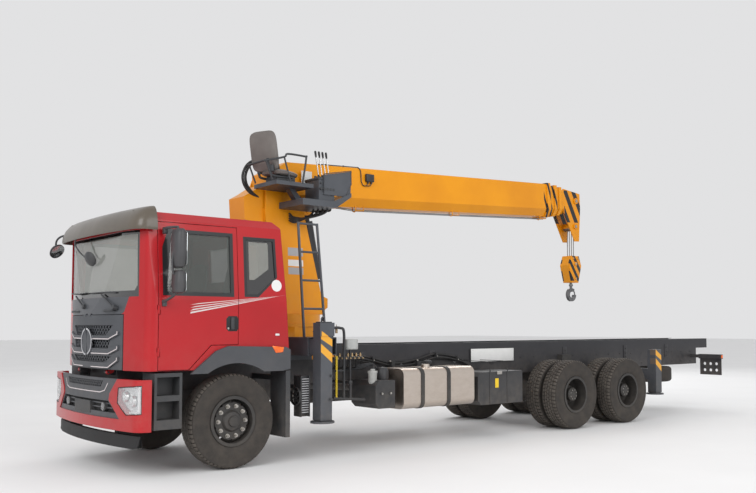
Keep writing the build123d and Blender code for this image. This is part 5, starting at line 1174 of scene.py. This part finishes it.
addBar(form, at(0.78, 0.52, 1.68), at(0.50, 0.52, 1.955), 0.026, 20, 1)
wheelMiddle, wheelAxis = Vector(at(*dashLook["wheel"])), Vector((-0.6, 0, 0.8))
thick = dashLook["wheelThick"]
rim = [(dashLook["wheelRadius"] + thick * math.cos(t * math.pi / 5),
        thick * math.sin(t * math.pi / 5)) for t in range(10)]
addSpin(form, rim, wheelMiddle, wheelAxis, 48, 1, closed=True)
addSpin(form, [(0.0, 0.03), (0.055, 0.024), (0.066, 0.0), (0.05, -0.03), (0.0, -0.03)], wheelMiddle, wheelAxis,
        28, 1)
for turn in dashLook["spokes"]:
    out = Matrix.Rotation(turn, 3, wheelAxis) @ Vector((0.8, 0, 0.6))
    addBar(form, wheelMiddle + out * 0.05, wheelMiddle + out * 0.21, 0.012, 10, 1)
makePiece("cab_furniture", form, "cab", ["trimGrey", "stepBlack"], replaced="cab_interior")

# operator's seat: crowned vinyl pads on dark brackets
operatorSeatLook = {"cushion": (-0.925, 0.568, 3.455), "back": (-0.715, 0.560, 3.705), "bracketYs": (0.44, 0.70),
                    "tube": 0.016, "fill": 0.5}
form = bmesh.new()
addPad(form, at(*operatorSeatLook["cushion"]), ((1, 0.42, 0.02), (-0.42, 1, 0), (-0.02, 0, 1)), (0.20, 0.185),
       0.035)
addPad(form, at(*operatorSeatLook["back"]), ((0.2, 0.084, 1), (-0.42, 1, 0), (-1, -0.42, 0.235)), (0.245, 0.19),
       0.048, power=5.0)
operatorPads = makePiece("operator_pads", form, "column", ["seatShell"], smoothAngle=60)
form = bmesh.new()
addBox(form, at(-1.07, 0.44, 3.342), at(-0.80, 0.70, 3.414), 0.012)
for y in operatorSeatLook["bracketYs"]:
    addTube(form, [at(-1.02, y, 3.40), at(-0.76, y, 3.395), at(-0.705, y, 3.44), at(-0.665, y, 3.60)],
            operatorSeatLook["tube"], 10)
    addBar(form, at(-0.72, y, 3.445), at(-0.72, y + 0.001, 3.52), 0.034, 16)
makePiece("operator_seat_frame", form, "column", ["stepBlack"], replaced="operator_seat")

# operator's stand: hoop rail, valve block with spool caps, lever grips, shield wire
standLook = {
    "railRadius": 0.0125, "nearY": 0.37, "farY": 0.757, "spools": 5, "firstSpool": -1.425, "spoolPitch": 0.0475,
    "levers": (1.420, 1.475, 1.530, 1.585), "leverY": 0.62,
}
form = bmesh.new()
nearY, farY, radius = standLook["nearY"], standLook["farY"], standLook["railRadius"]
addTube(form, [at(-0.868, nearY, 3.63), at(-0.62, nearY, 3.56), at(-0.60, 0.40, 3.555),
               at(-0.60, farY - 0.03, 3.555), at(-0.62, farY, 3.56), at(-0.868, farY, 3.63),
               at(-0.918, farY, 3.673), at(-1.17, farY, 3.673), at(-1.19, farY, 3.655), at(-1.138, farY, 3.335)],
        radius, 12, perRun=4)
for start, end in (((-0.604, 3.563), (-0.70, 3.335)), ((-0.868, 3.63), (-0.96, 3.335))):
    for y in (nearY, farY):
        addBar(form, at(start[0], y, start[1]), at(end[0], y, end[1]), radius * 0.85, 12)
addBox(form, at(-1.652, 0.425, 3.415), at(-1.39, 0.742, 3.446), 0.004)
leverY = standLook["leverY"]
for k in range(standLook["spools"]):
    back = standLook["firstSpool"] - standLook["spoolPitch"] * k
    addStud(form, 1, back, (0.735, 0.757), 3.30, 0.018, 18)
    addStud(form, 1, back, (0.735, 0.753), 3.37, 0.012)
    addBar(form, at(back, leverY, 3.44), at(back, leverY, 3.475), 0.017, 14)
for back in standLook["levers"]:
    foot, head = Vector(at(-back - 0.06, leverY, 3.44)), Vector(at(-back, leverY, 3.79))
    tip = (head - foot).normalized()
    addSpin(form, [(0.0, 0.085), (0.009, 0.083), (0.0145, 0.07), (0.0135, 0.03), (0.010, 0.002), (0.0075, 0.0)],
            head - tip * 0.075, tip, 16, 2)
    addSpin(form, [(0.0078, 0.10), (0.0078, -0.20)], head - tip * 0.16, tip, 12, 1)
    addSpin(form, [(0.0085, 0.06), (0.020, 0.03), (0.024, 0.0)], foot, tip, 16, 2)
addTube(form, [at(-1.465, 0.752, 3.24), at(-1.46, 0.758, 3.49), at(-1.89, 0.758, 3.575), at(-1.895, 0.754, 3.40),
               at(-1.80, 0.752, 3.235)],
        0.006, 8, smooth=False)
makePiece("stand_details", form, "column", ["stepBlack", "rodChrome", "sealAndShadeBlack"])

# hoses: a double loop on the column's cheek, bundles under the stand and beside the ladder
craneHoseLook = {"loopY": 0.232, "loopSpreads": (0.0, 0.04), "loopRadius": 0.0165, "ladderHoses": 4,
                 "ladderRadius": 0.0135, "standHoses": 3, "standRadius": 0.0125}
form = bmesh.new()
loopY = craneHoseLook["loopY"]
for spread in craneHoseLook["loopSpreads"]:
    addTube(form, [at(-1.13, loopY, 3.545), at(-1.09, loopY, 3.63 + spread), at(-0.95, loopY, 3.68 + spread),
                   at(-0.74 + spread, loopY, 3.62), at(-0.645 + spread, 0.230, 3.48),
                   at(-0.66 + spread, 0.215, 3.35), at(-0.76 + spread, 0.19, 3.25), at(-0.86, 0.17, 3.20)],
            craneHoseLook["loopRadius"], 12)
for k in range(craneHoseLook["ladderHoses"]):
    x, y = -1.50 - 0.03 * k, 0.46 + 0.055 * k
    addTube(form, [at(x, y, 3.16), at(x, y, 3.03), at(-1.40, 0.42 + 0.03 * k, 2.95),
                   at(-1.30, 0.34, 2.90 + 0.02 * k), at(-1.27, 0.26, 2.93 + 0.03 * k)],
            craneHoseLook["ladderRadius"], 10)
for k in range(craneHoseLook["standHoses"]):
    addTube(form, [at(-1.62, 0.56 + 0.04 * k, 3.17), at(-1.68 - 0.03 * k, 0.50, 3.07),
                   at(-1.63, 0.36, 3.06 + 0.02 * k), at(-1.50, 0.27, 3.10)],
            craneHoseLook["standRadius"], 10)
makePiece("crane_hoses", form, "column", ["hoseRubber"])

# boom: pipe and connector box on its side, hoist rope under it in yellow guides


def boomSpot(along, y, up):      # from the boom's foot pin
    return at(boomPivot[0] - along * math.cos(boomLean) + up * math.sin(boomLean), y,
              boomPivot[1] + along * math.sin(boomLean) + up * math.cos(boomLean))


boomPipeLook = {
    "route": ((0.62, 0.19, 0.279), (1.22, 0.195, 0.279), (1.30, 0.207, 0.272), (1.335, 0.209, 0.22),
              (1.34, 0.209, 0.08)),
    "radius": 0.007, "clips": (0.75, 1.05), "box": ((1.545, 0.199, 0.08), (1.415, 0.245, 0.195)),
    "glands": (1.45, 1.51),
}
form = bmesh.new()
addTube(form, [boomSpot(*point) for point in boomPipeLook["route"]], boomPipeLook["radius"], 8)
for along in boomPipeLook["clips"]:
    addBar(form, boomSpot(along, 0.19, 0.268), boomSpot(along, 0.19, 0.29), 0.012, 12)
low, high = boomPipeLook["box"]
addBox(form, boomSpot(*low), boomSpot(*high), 0.008, 1)
for along in boomPipeLook["glands"]:
    addBar(form, boomSpot(along, 0.222, 0.06), boomSpot(along, 0.222, 0.10), 0.013, 14, 1)
    addTube(form, [boomSpot(along, 0.222, 0.062), boomSpot(along - 0.03, 0.221, 0.03),
                   boomSpot(1.37, 0.215, 0.03), boomSpot(1.34, 0.209, 0.082)],
            0.0055, 8, 1)
makePiece("boom_pipe", form, "boom_base", ["stepBlack", "boxBlack"])

ropeLook = {
    "guides": (1.28, 3.15, 5.20), "guideRadius": 0.008,
    # y, height, end along the boom, radius
    "runs": ((0.10, -0.305, 5.40, 0.0065), (0.085, -0.318, 5.33, 0.0055)),
}
form = bmesh.new()
for along in ropeLook["guides"]:
    addTube(form, [boomSpot(along, y, up) for y, up in ((0.13, -0.24), (0.135, -0.318), (0.10, -0.332),
                                                        (0.065, -0.318), (0.06, -0.262))],
            ropeLook["guideRadius"], 10, smooth=False)
    addTube(form, [boomSpot(along + 0.14, 0.13, -0.25), boomSpot(along + 0.14, 0.135, -0.314),
                   boomSpot(along, 0.135, -0.318)], 0.007, 8, smooth=False)
makePiece("rope_guides", form, "boom_base", ["craneYellow"])
form = bmesh.new()
for y, up, end, thick in ropeLook["runs"]:
    addTube(form, [boomSpot(0.98, y, up + 0.03), boomSpot(1.28, y, up), boomSpot(3.15, y, up - 0.004),
                   boomSpot(end, y, up)], thick, 8, smooth=False)
makePiece("hoist_rope", form, "boom_base", ["ropeSteel"])

# pin ends on the head, cheeks and pins of the hook block; both hang from the pin at the boom's end
pinLook = {
    # head pins: beside and over the rope pin, radius
    "pinAlong": 6.17, "headPins": ((0.0, 0.02, 0.052), (0.02, -0.43, 0.045)),
    "cheek": [(-0.10, 2.80), (0.10, 2.80), (0.168, 2.63), (0.086, 2.345), (-0.086, 2.345), (-0.168, 2.63)],
    "blockPins": ((0.0, 2.66, 0.036), (-0.062, 2.755, 0.018), (0.062, 2.755, 0.018), (0.0, 2.40, 0.022)),
}
pinX = boomPivot[0] - pinLook["pinAlong"] * math.cos(boomLean)
pinZ = boomPivot[1] + pinLook["pinAlong"] * math.sin(boomLean)
hookX = pinX - 0.43 * math.sin(boomLean)
form = bmesh.new()
for side in (-1, 1):
    for besides, over, radius in pinLook["headPins"]:
        x, z = pinX + besides, pinZ + over
        addStud(form, side, x, (0.134, 0.156), z, radius, 28)
        addStud(form, side, x, (0.154, 0.164), z, radius * 0.55, 6, 1)
        for turn in range(4):
            angle = math.pi * (0.25 + 0.5 * turn)
            boltX, boltZ = x + 0.7 * radius * math.cos(angle), z + 0.7 * radius * math.sin(angle)
            addStud(form, side, boltX, (0.152, 0.161), boltZ, 0.006, 6, 1)
makePiece("head_pins", form, "boom_4", ["craneYellow", "nutSteel"])
form = bmesh.new()
for side in (-1, 1):
    low, high = sorted((side * 0.0955, side * 0.103))
    addPrism(form, [(ahead(hookX + x), z) for x, z in pinLook["cheek"]], 1, low, high, 0, 0.003)
    for x, z, radius in pinLook["blockPins"]:
        addStud(form, side, hookX + x, (0.103 * 0.96, 0.103 * 1.14), z, radius, 24, 1)
        addStud(form, side, hookX + x, (0.103 * 1.12, 0.103 * 1.18), z, radius * 0.6, 6, 2)
makePiece("block_cheeks", form, "hook_block", ["blockYellow", "craneYellow", "nutSteel"])
print("crane dressed")

# cooler with fins and fan, guard tube, stowed rod, terminal box and valves beside the front leg
coolerLook = {
    "fins": 15, "firstFin": 0.545, "finPitch": 0.028, "finHeight": 0.012,
    "fan": (-0.93, 0.965, 0.74), "blades": 7, "bladeReach": 0.088,
    "ring": [(0.105, 0.0), (0.112, 0.02), (0.108, 0.028), (0.098, 0.028), (0.095, 0.0)],
}
form = bmesh.new()
addBox(form, at(-1.06, 0.90, 0.50), at(-0.93, 1.02, 0.985), 0.01)
for number in range(coolerLook["fins"]):
    height = coolerLook["firstFin"] + coolerLook["finPitch"] * number
    addBox(form, at(-1.05, 1.018, height), at(-0.94, 1.050, height + coolerLook["finHeight"]), 0.002, 1)
for x in (-1.062, -0.944):
    addBox(form, at(x, 1.018, 0.50), at(x + 0.016, 1.060, 0.985), 0.004)
fanX, fanY, fanZ = coolerLook["fan"]
addSpin(form, coolerLook["ring"], at(fanX, fanY, fanZ), (1, 0, 0), 36)
for blade in range(coolerLook["blades"]):
    angle = 2 * math.pi * blade / coolerLook["blades"]
    tip = at(fanX + 0.018, fanY + coolerLook["bladeReach"] * math.cos(angle),
             fanZ + coolerLook["bladeReach"] * math.sin(angle))
    addBar(form, at(fanX + 0.008, fanY, fanZ), tip, 0.011, 6)
addBox(form, at(-1.03, 0.43, 0.82), at(-0.96, 0.91, 0.868), 0.006)

guardLook = {
    "tube": 0.017, "y": 1.0,
    "top": ((-1.47, 0.935, 1.40), (-1.47, 0.935, 1.50), (-1.49, 0.945, 1.545), (-1.56, 0.98, 1.545)),
}
radius, guardY = guardLook["tube"], guardLook["y"]
lowerEnd = [at(x, guardY, z) for x, z in ((-1.60, 1.50), (-1.603, 1.20), (-1.603, 0.66))]
upright = [at(*point) for point in guardLook["top"]] + lowerEnd
addTube(form, upright, radius, 12)
addTube(form, [at(-1.44, guardY, 0.69), at(-1.60, guardY, 0.675), at(-1.93, guardY, 0.65)], radius, 12)
addBar(form, at(-1.705, guardY, 0.87), at(-1.705, guardY, 0.665), radius, 12)
addBox(form, at(-1.73, 0.43, 0.85), at(-1.68, 1.012, 0.89), 0.006)
addTube(form, [at(-1.47, guardY, 1.02), at(-1.60, guardY, 1.02)], 0.012, 10)
addBar(form, at(-1.489, guardY, 0.68), at(-1.489, guardY, 1.20), 0.013, 14, 2)      # the stowed rod

terminalLook = {"screwXs": (-1.85, -1.705), "screwZs": (1.295, 1.385)}
addBar(form, at(-1.775, 0.90, 0.875), at(-1.775, 0.90, 1.28), 0.015, 14)
addBox(form, at(-1.869, 0.855, 1.275), at(-1.686, 0.945, 1.405), 0.008, 3)
addBox(form, at(-1.862, 0.943, 1.283), at(-1.693, 0.951, 1.397), 0.003, 3)
for x in terminalLook["screwXs"]:
    for z in terminalLook["screwZs"]:
        addStud(form, 1, x, (0.95, 0.955), z, 0.006, 6, 4)

valveLook = {"count": 7, "firstX": -1.55, "pitch": 0.065, "hoseRadius": 0.0085}
addBox(form, at(-1.965, 0.86, 1.150), at(-1.50, 0.93, 1.186), 0.005)
for number in range(valveLook["count"]):
    x = valveLook["firstX"] - valveLook["pitch"] * number
    addBar(form, at(x, 0.895, 1.184), at(x, 0.895, 1.215), 0.015, 6, 5)
    addBar(form, at(x, 0.895, 1.213), at(x, 0.895, 1.232), 0.009, 14, 5)
    addStud(form, 1, x, (0.928, 0.955), 1.168, 0.011, 6, 5)
    addTube(form, [at(x, 0.862, 1.168), at(x - 0.01, 0.80, 1.15), at(x - 0.06, 0.72, 1.08 - 0.006 * number),
                   at(x - 0.10, 0.60, 1.03), at(x - 0.12, 0.45, 1.02)], valveLook["hoseRadius"], 8, 6)
addBar(form, at(-1.545, 0.92, 1.48), at(-1.545, 0.92, 1.535), 0.016, 12, 5)
addBar(form, at(-1.545, 0.92, 1.53), at(-1.545, 0.92, 1.59), 0.006, 10, 4)
makePiece("valve_station", form, "chassis", ["boxBlack", "labelGrey", "rodYellow", "terminalGrey", "nutSteel",
                                             "brassTan", "hoseRubber"],
          replaced="control_station")

# hoses along the frame with their clips
frameHoseLook = {
    # places and heights along the rail, y, radius; the first place lies further out
    "lines": (
        ([(-1.98, 1.20), (-2.466, 1.138), (-2.871, 1.057), (-3.30, 1.105), (-3.627, 1.169), (-4.047, 1.113),
          (-4.391, 0.961)], 0.470, 0.014),
        ([(-1.98, 1.165), (-2.45, 1.105), (-2.88, 1.020), (-3.32, 1.060), (-3.66, 1.125), (-4.10, 1.060),
          (-4.36, 0.955)], 0.500, 0.0125),
        ([(-1.98, 1.13), (-2.60, 1.075), (-3.10, 1.085), (-3.70, 1.095), (-4.30, 1.07)], 0.448, 0.009),
    ),
    "firstOut": 0.25, "clips": ((-2.466, 1.138), (-3.627, 1.169), (-4.047, 1.113)),
}
form = bmesh.new()
for points, y, thick in frameHoseLook["lines"]:
    firstX, firstZ = points[0]
    addTube(form, [at(firstX, y + frameHoseLook["firstOut"], firstZ)] + [at(x, y, z) for x, z in points[1:]],
            thick, 10)
for x, z in frameHoseLook["clips"]:
    addBox(form, at(x - 0.015, 0.431, z - 0.045), at(x + 0.015, 0.518, z + 0.022), 0.004, 1)
    addStud(form, 1, x, (0.516, 0.526), z - 0.028, 0.008, 6, 2)
makePiece("frame_hoses", form, "chassis", ["hoseRubber", "strapBlack", "nutSteel"])

# bolts of the turntable, rail rivets, sub-frame clamps
boltLook = {"turntable": 36, "turntableX": -1.430, "turntableRadius": 0.405, "rivets": 26, "firstRivet": -2.2,
            "rivetPitch": 0.33, "rivetHeights": (0.90, 1.08)}
form = bmesh.new()
for number in range(boltLook["turntable"]):
    angle = 2 * math.pi * number / boltLook["turntable"]
    x = boltLook["turntableX"] + boltLook["turntableRadius"] * math.cos(angle)
    y = boltLook["turntableRadius"] * math.sin(angle)
    addBar(form, at(x, y, 1.598), at(x, y, 1.616), 0.013, 6)
for side in (1, -1):
    for number in range(boltLook["rivets"]):
        for z in boltLook["rivetHeights"]:
            addStud(form, side, boltLook["firstRivet"] - boltLook["rivetPitch"] * number, (0.428, 0.438), z,
                    0.010)
makePiece("frame_bolts", form, "chassis", ["boltBlack"])
clampLook = {"xs": (-2.35, -3.6, -4.85, -6.6, -8.3, -9.6), "half": 0.05, "heights": (0.99, 1.225),
             "boltHeights": (1.02, 1.09, 1.17)}
form = bmesh.new()
for side in (1, -1):
    for x in clampLook["xs"]:
        addSideBox(form, side, (x - clampLook["half"], x + clampLook["half"]), (0.4305, 0.4405),
                   clampLook["heights"], 0.003)
        for z in clampLook["boltHeights"]:
            addStud(form, side, x, (0.440, 0.452), z, 0.013, 6, 1)
makePiece("subframe_clamps", form, "chassis", ["frameBlack", "boltBlack"])

# blank pale plate on the rail
plateLook = {"xs": (-5.313, -4.374), "heights": (1.035, 1.228), "screwXs": (-5.28, -4.41),
             "screwZs": (1.055, 1.208)}
form = bmesh.new()
addSideBox(form, 1, plateLook["xs"], (0.4535, 0.4585), plateLook["heights"], 0.001)
for x in plateLook["screwXs"]:
    for z in plateLook["screwZs"]:
        addStud(form, 1, x, (0.444, 0.461), z, 0.006, 12, 1)
makePiece("blank_plate", form, "chassis", ["labelWhite", "nutSteel"])

# tank: ribbed cap, bungs, strap bolts
tankLook = {"capX": -3.05, "capY": 0.95, "capRadius": 0.052, "capRibs": 16, "bungXs": (-2.62, -3.60),
            "strapXs": (-2.765, -3.265)}
form = bmesh.new()
capX, capY, capRadius = tankLook["capX"], tankLook["capY"], tankLook["capRadius"]
cap = [(0.0, 0.052), (0.045, 0.050), (capRadius, 0.042), (capRadius, 0.018), (0.040, 0.014), (0.040, 0.0)]
addSpin(form, cap, at(capX, capY, 1.058), (0, 0, 1), 32)
for number in range(tankLook["capRibs"]):
    angle = 2 * math.pi * number / tankLook["capRibs"]
    x, y = capX + capRadius * math.cos(angle), capY + capRadius * math.sin(angle)
    addBar(form, at(x, y, 1.078), at(x, y, 1.098), 0.004, 6)
for x in tankLook["bungXs"]:
    addSpin(form, [(0.0, 0.014), (0.016, 0.012), (0.018, 0.0)], at(x, 0.90, 1.060), (0, 0, 1), 16)
for x in tankLook["strapXs"]:
    addBar(form, at(x, 0.50, 1.05), at(x, 0.50, 1.10), 0.009, 12, 1)
    addBar(form, at(x, 0.50, 1.085), at(x, 0.50, 1.097), 0.016, 6, 1)
makePiece("tank_fittings", form, "chassis", ["boxBlack", "nutSteel"])

# tool box: lid straps, latch and a blank sticker; battery box studs, filter bowl, air dryer and its pipes
boxLook = {
    "strapXs": (-4.06, -4.42), "latch": (-4.30, -4.20), "sticker": ((-4.235, -4.165), (0.70, 0.83)),
    "studXs": (-2.10, -2.24), "pipes": 3,
    "bowl": [(0.0, 0.0), (0.045, 0.004), (0.055, 0.03), (0.055, 0.13), (0.062, 0.14), (0.062, 0.165),
             (0.03, 0.17), (0.03, 0.19), (0.0, 0.19)],
    "dryer": [(0.0, 0.0), (0.07, 0.0), (0.085, 0.02), (0.085, 0.13), (0.06, 0.17), (0.0, 0.18)],
}
form = bmesh.new()
for x in boxLook["strapXs"]:
    addBox(form, at(x - 0.012, 0.60, 1.066), at(x + 0.012, 1.05, 1.0735), 0.002)
    addBox(form, at(x - 0.012, 1.139, 0.48), at(x + 0.012, 1.1465, 0.96), 0.002)
addSideBox(form, 1, boxLook["latch"], (1.139, 1.152), (0.885, 0.93), 0.005, 1)
stickerXs, stickerZs = boxLook["sticker"]
addSideBox(form, 1, stickerXs, (1.1395, 1.1425), stickerZs, 0.001, 2)
for x in boxLook["studXs"]:
    addStud(form, 1, x, (1.135, 1.150), 0.72, 0.014, 16, 1)
addSpin(form, boxLook["bowl"], at(-2.065, 0.99, 0.835), (0, 0, 1), 32, 3)
addSpin(form, boxLook["dryer"], at(-2.33, 0.86, 0.86), (0, 0, 1), 32)
for k in range(boxLook["pipes"]):
    addTube(form, [at(-2.30 + 0.04 * k, 0.80, 1.0), at(-2.28, 0.70, 1.08 - 0.01 * k),
                   at(-2.10, 0.62, 1.05 - 0.02 * k), at(-1.98, 0.50, 1.0)],
            0.010, 8)
makePiece("box_fittings", form, "chassis", ["boxBlack", "nutSteel", "stickerYellow", "filterPale"])

# tail lamp lenses: two red and one amber behind, ribbed, and an amber one on the outer end
tailLook = {
    "lenses": ((0.62, 0.76, 0), (0.765, 0.90, 0), (0.905, 1.045, 1)),      # inner end, outer end, finish
    "ribs": 5,
}
form = bmesh.new()
for side in (1, -1):
    for lowY, highY, kind in tailLook["lenses"]:
        low, high = sorted((side * lowY, side * highY))
        addBox(form, at(-10.552, low, 0.955), at(-10.540, high, 1.020), 0.004, kind)
        for rib in range(1, tailLook["ribs"] + 1):
            y = low + (high - low) * rib / (tailLook["ribs"] + 1)
            addBox(form, at(-10.555, y - 0.002, 0.960), at(-10.551, y + 0.002, 1.015), 0.0008, kind)
    addSideBox(form, side, (-10.532, -10.475), (1.059, 1.067), (0.958, 1.018), 0.003, 1)
makePiece("tail_lenses", form, "chassis", ["lensRed", "lensAmber"])

# column: a blank plate on each cheek, held by screws
cheekPlateLook = {"xs": (-1.618, -1.455), "heights": (3.415, 3.60), "screwXs": (-1.605, -1.468),
                  "screwZs": (3.43, 3.585)}
form = bmesh.new()
for side in (1, -1):
    addSideBox(form, side, cheekPlateLook["xs"], (0.2545, 0.2605), cheekPlateLook["heights"], 0.001)
    for x in cheekPlateLook["screwXs"]:
        for z in cheekPlateLook["screwZs"]:
            addStud(form, side, x, (0.260, 0.264), z, 0.005, 12, 1)
makePiece("column_plates", form, "column", ["labelWhite", "nutSteel"])

# front legs: pins, cap plate and the jack's hose
frontLegLook = {"xs": {"left": -1.19, "right": -1.42}, "pins": ((0.70, 0.020), (0.98, 0.016)), "capHalf": 0.085}
for side, word in leftRight:
    form = bmesh.new()
    x = frontLegLook["xs"][word]
    for z, radius in frontLegLook["pins"]:
        addStud(form, side, x - 0.06, (1.222, 1.236), z, radius, 18)
    addSideBox(form, side, (x - frontLegLook["capHalf"], x + frontLegLook["capHalf"]), (1.10, 1.20),
               (1.608, 1.622), 0.004)
    hose = ((0.04, 1.16, 1.60), (0.04, 1.16, 1.66), (-0.03, 1.10, 1.67), (-0.05, 0.95, 1.55), (-0.05, 0.86, 1.50))
    addTube(form, [at(x + shift, side * y, z) for shift, y, z in hose], 0.010, 10)
    makePiece("front_leg_fittings_" + word, form, "front_beam_" + word, ["stepBlack"])

# hook latch and a stop on the hook's shank
latchLook = {"route": ((-0.045, 2.205), (-0.09, 2.17), (-0.105, 2.115)), "radius": 0.011, "stopHeight": 2.272}
form = bmesh.new()
addTube(form, [at(hookX + x, 0, z) for x, z in latchLook["route"]], latchLook["radius"], 10)
stop = [(0.0245, 0.0), (0.036, 0.0), (0.036, 0.03), (0.0245, 0.03)]
addSpin(form, stop, at(hookX, 0, latchLook["stopHeight"]), (0, 0, 1), 28, closed=True)
makePiece("hook_latch", form, "hook", ["hookSteel"])
print("frame dressed")

# floor, light and camera

floorForm = bmesh.new()
bmesh.ops.create_grid(floorForm, x_segments=1, y_segments=1, size=90)
floor = makePiece("floor", floorForm, None, ["labelWhite"])
floorFinish = finishFrom("paleFloor", dict(colour=(0.82, 0.82, 0.82), shade=(0.8, 0.8, 0.8), patch=0.6,
                                           rough=(0.7, 0.8), bump=0.02))
floor.data.materials[0] = floorFinish
floor.location.z = -0.0005

lightLook = {
    # place, aimed at, size, watts
    "front": ((17, 7, 9), (5, 0, 1.5), 9, 1150),
    "side": ((2, 19, 9), (0, 0, 1.5), 12, 1250),
    "back": ((-12, -10, 10), (-2, 0, 2), 10, 750),
}
for name, (place, target, size, watts) in lightLook.items():
    light = bpy.data.lights.new(name, "AREA")
    light.size = size
    light.energy = watts
    lamp = bpy.data.objects.new(name, light)
    lamp.location = place
    lamp.rotation_mode = "QUATERNION"
    lamp.rotation_quaternion = (Vector(target) - Vector(place)).to_track_quat("-Z", "Y")
    bpy.context.collection.objects.link(lamp)

world = bpy.data.worlds.new("studio")
world.use_nodes = True
world.node_tree.nodes["Background"].inputs["Color"].default_value = (0.95, 0.95, 0.96, 1)
world.node_tree.nodes["Background"].inputs["Strength"].default_value = 0.8
bpy.context.scene.world = world

cameraLook = {
    "place": (9.649, 9.515, 1.571), "turn": -130.09, "rise": 3.27,      # turn and rise in degrees
    "lens": 40.71, "shiftX": -0.0209, "shiftY": 0.0405,
}
camera = bpy.data.objects.new("camera", bpy.data.cameras.new("camera"))
turn, rise = math.radians(cameraLook["turn"]), math.radians(cameraLook["rise"])
gaze = Vector((math.cos(rise) * math.cos(turn), math.cos(rise) * math.sin(turn), math.sin(rise)))
camera.location = cameraLook["place"]
camera.rotation_mode = "QUATERNION"
camera.rotation_quaternion = gaze.to_track_quat("-Z", "Y")
camera.data.sensor_width = 36
camera.data.lens = cameraLook["lens"]
camera.data.shift_x = cameraLook["shiftX"]
camera.data.shift_y = cameraLook["shiftY"]
camera.data.clip_end = 400
bpy.context.collection.objects.link(camera)
bpy.context.scene.camera = camera
bpy.context.scene.view_settings.view_transform = "Standard"

print("pieces placed")
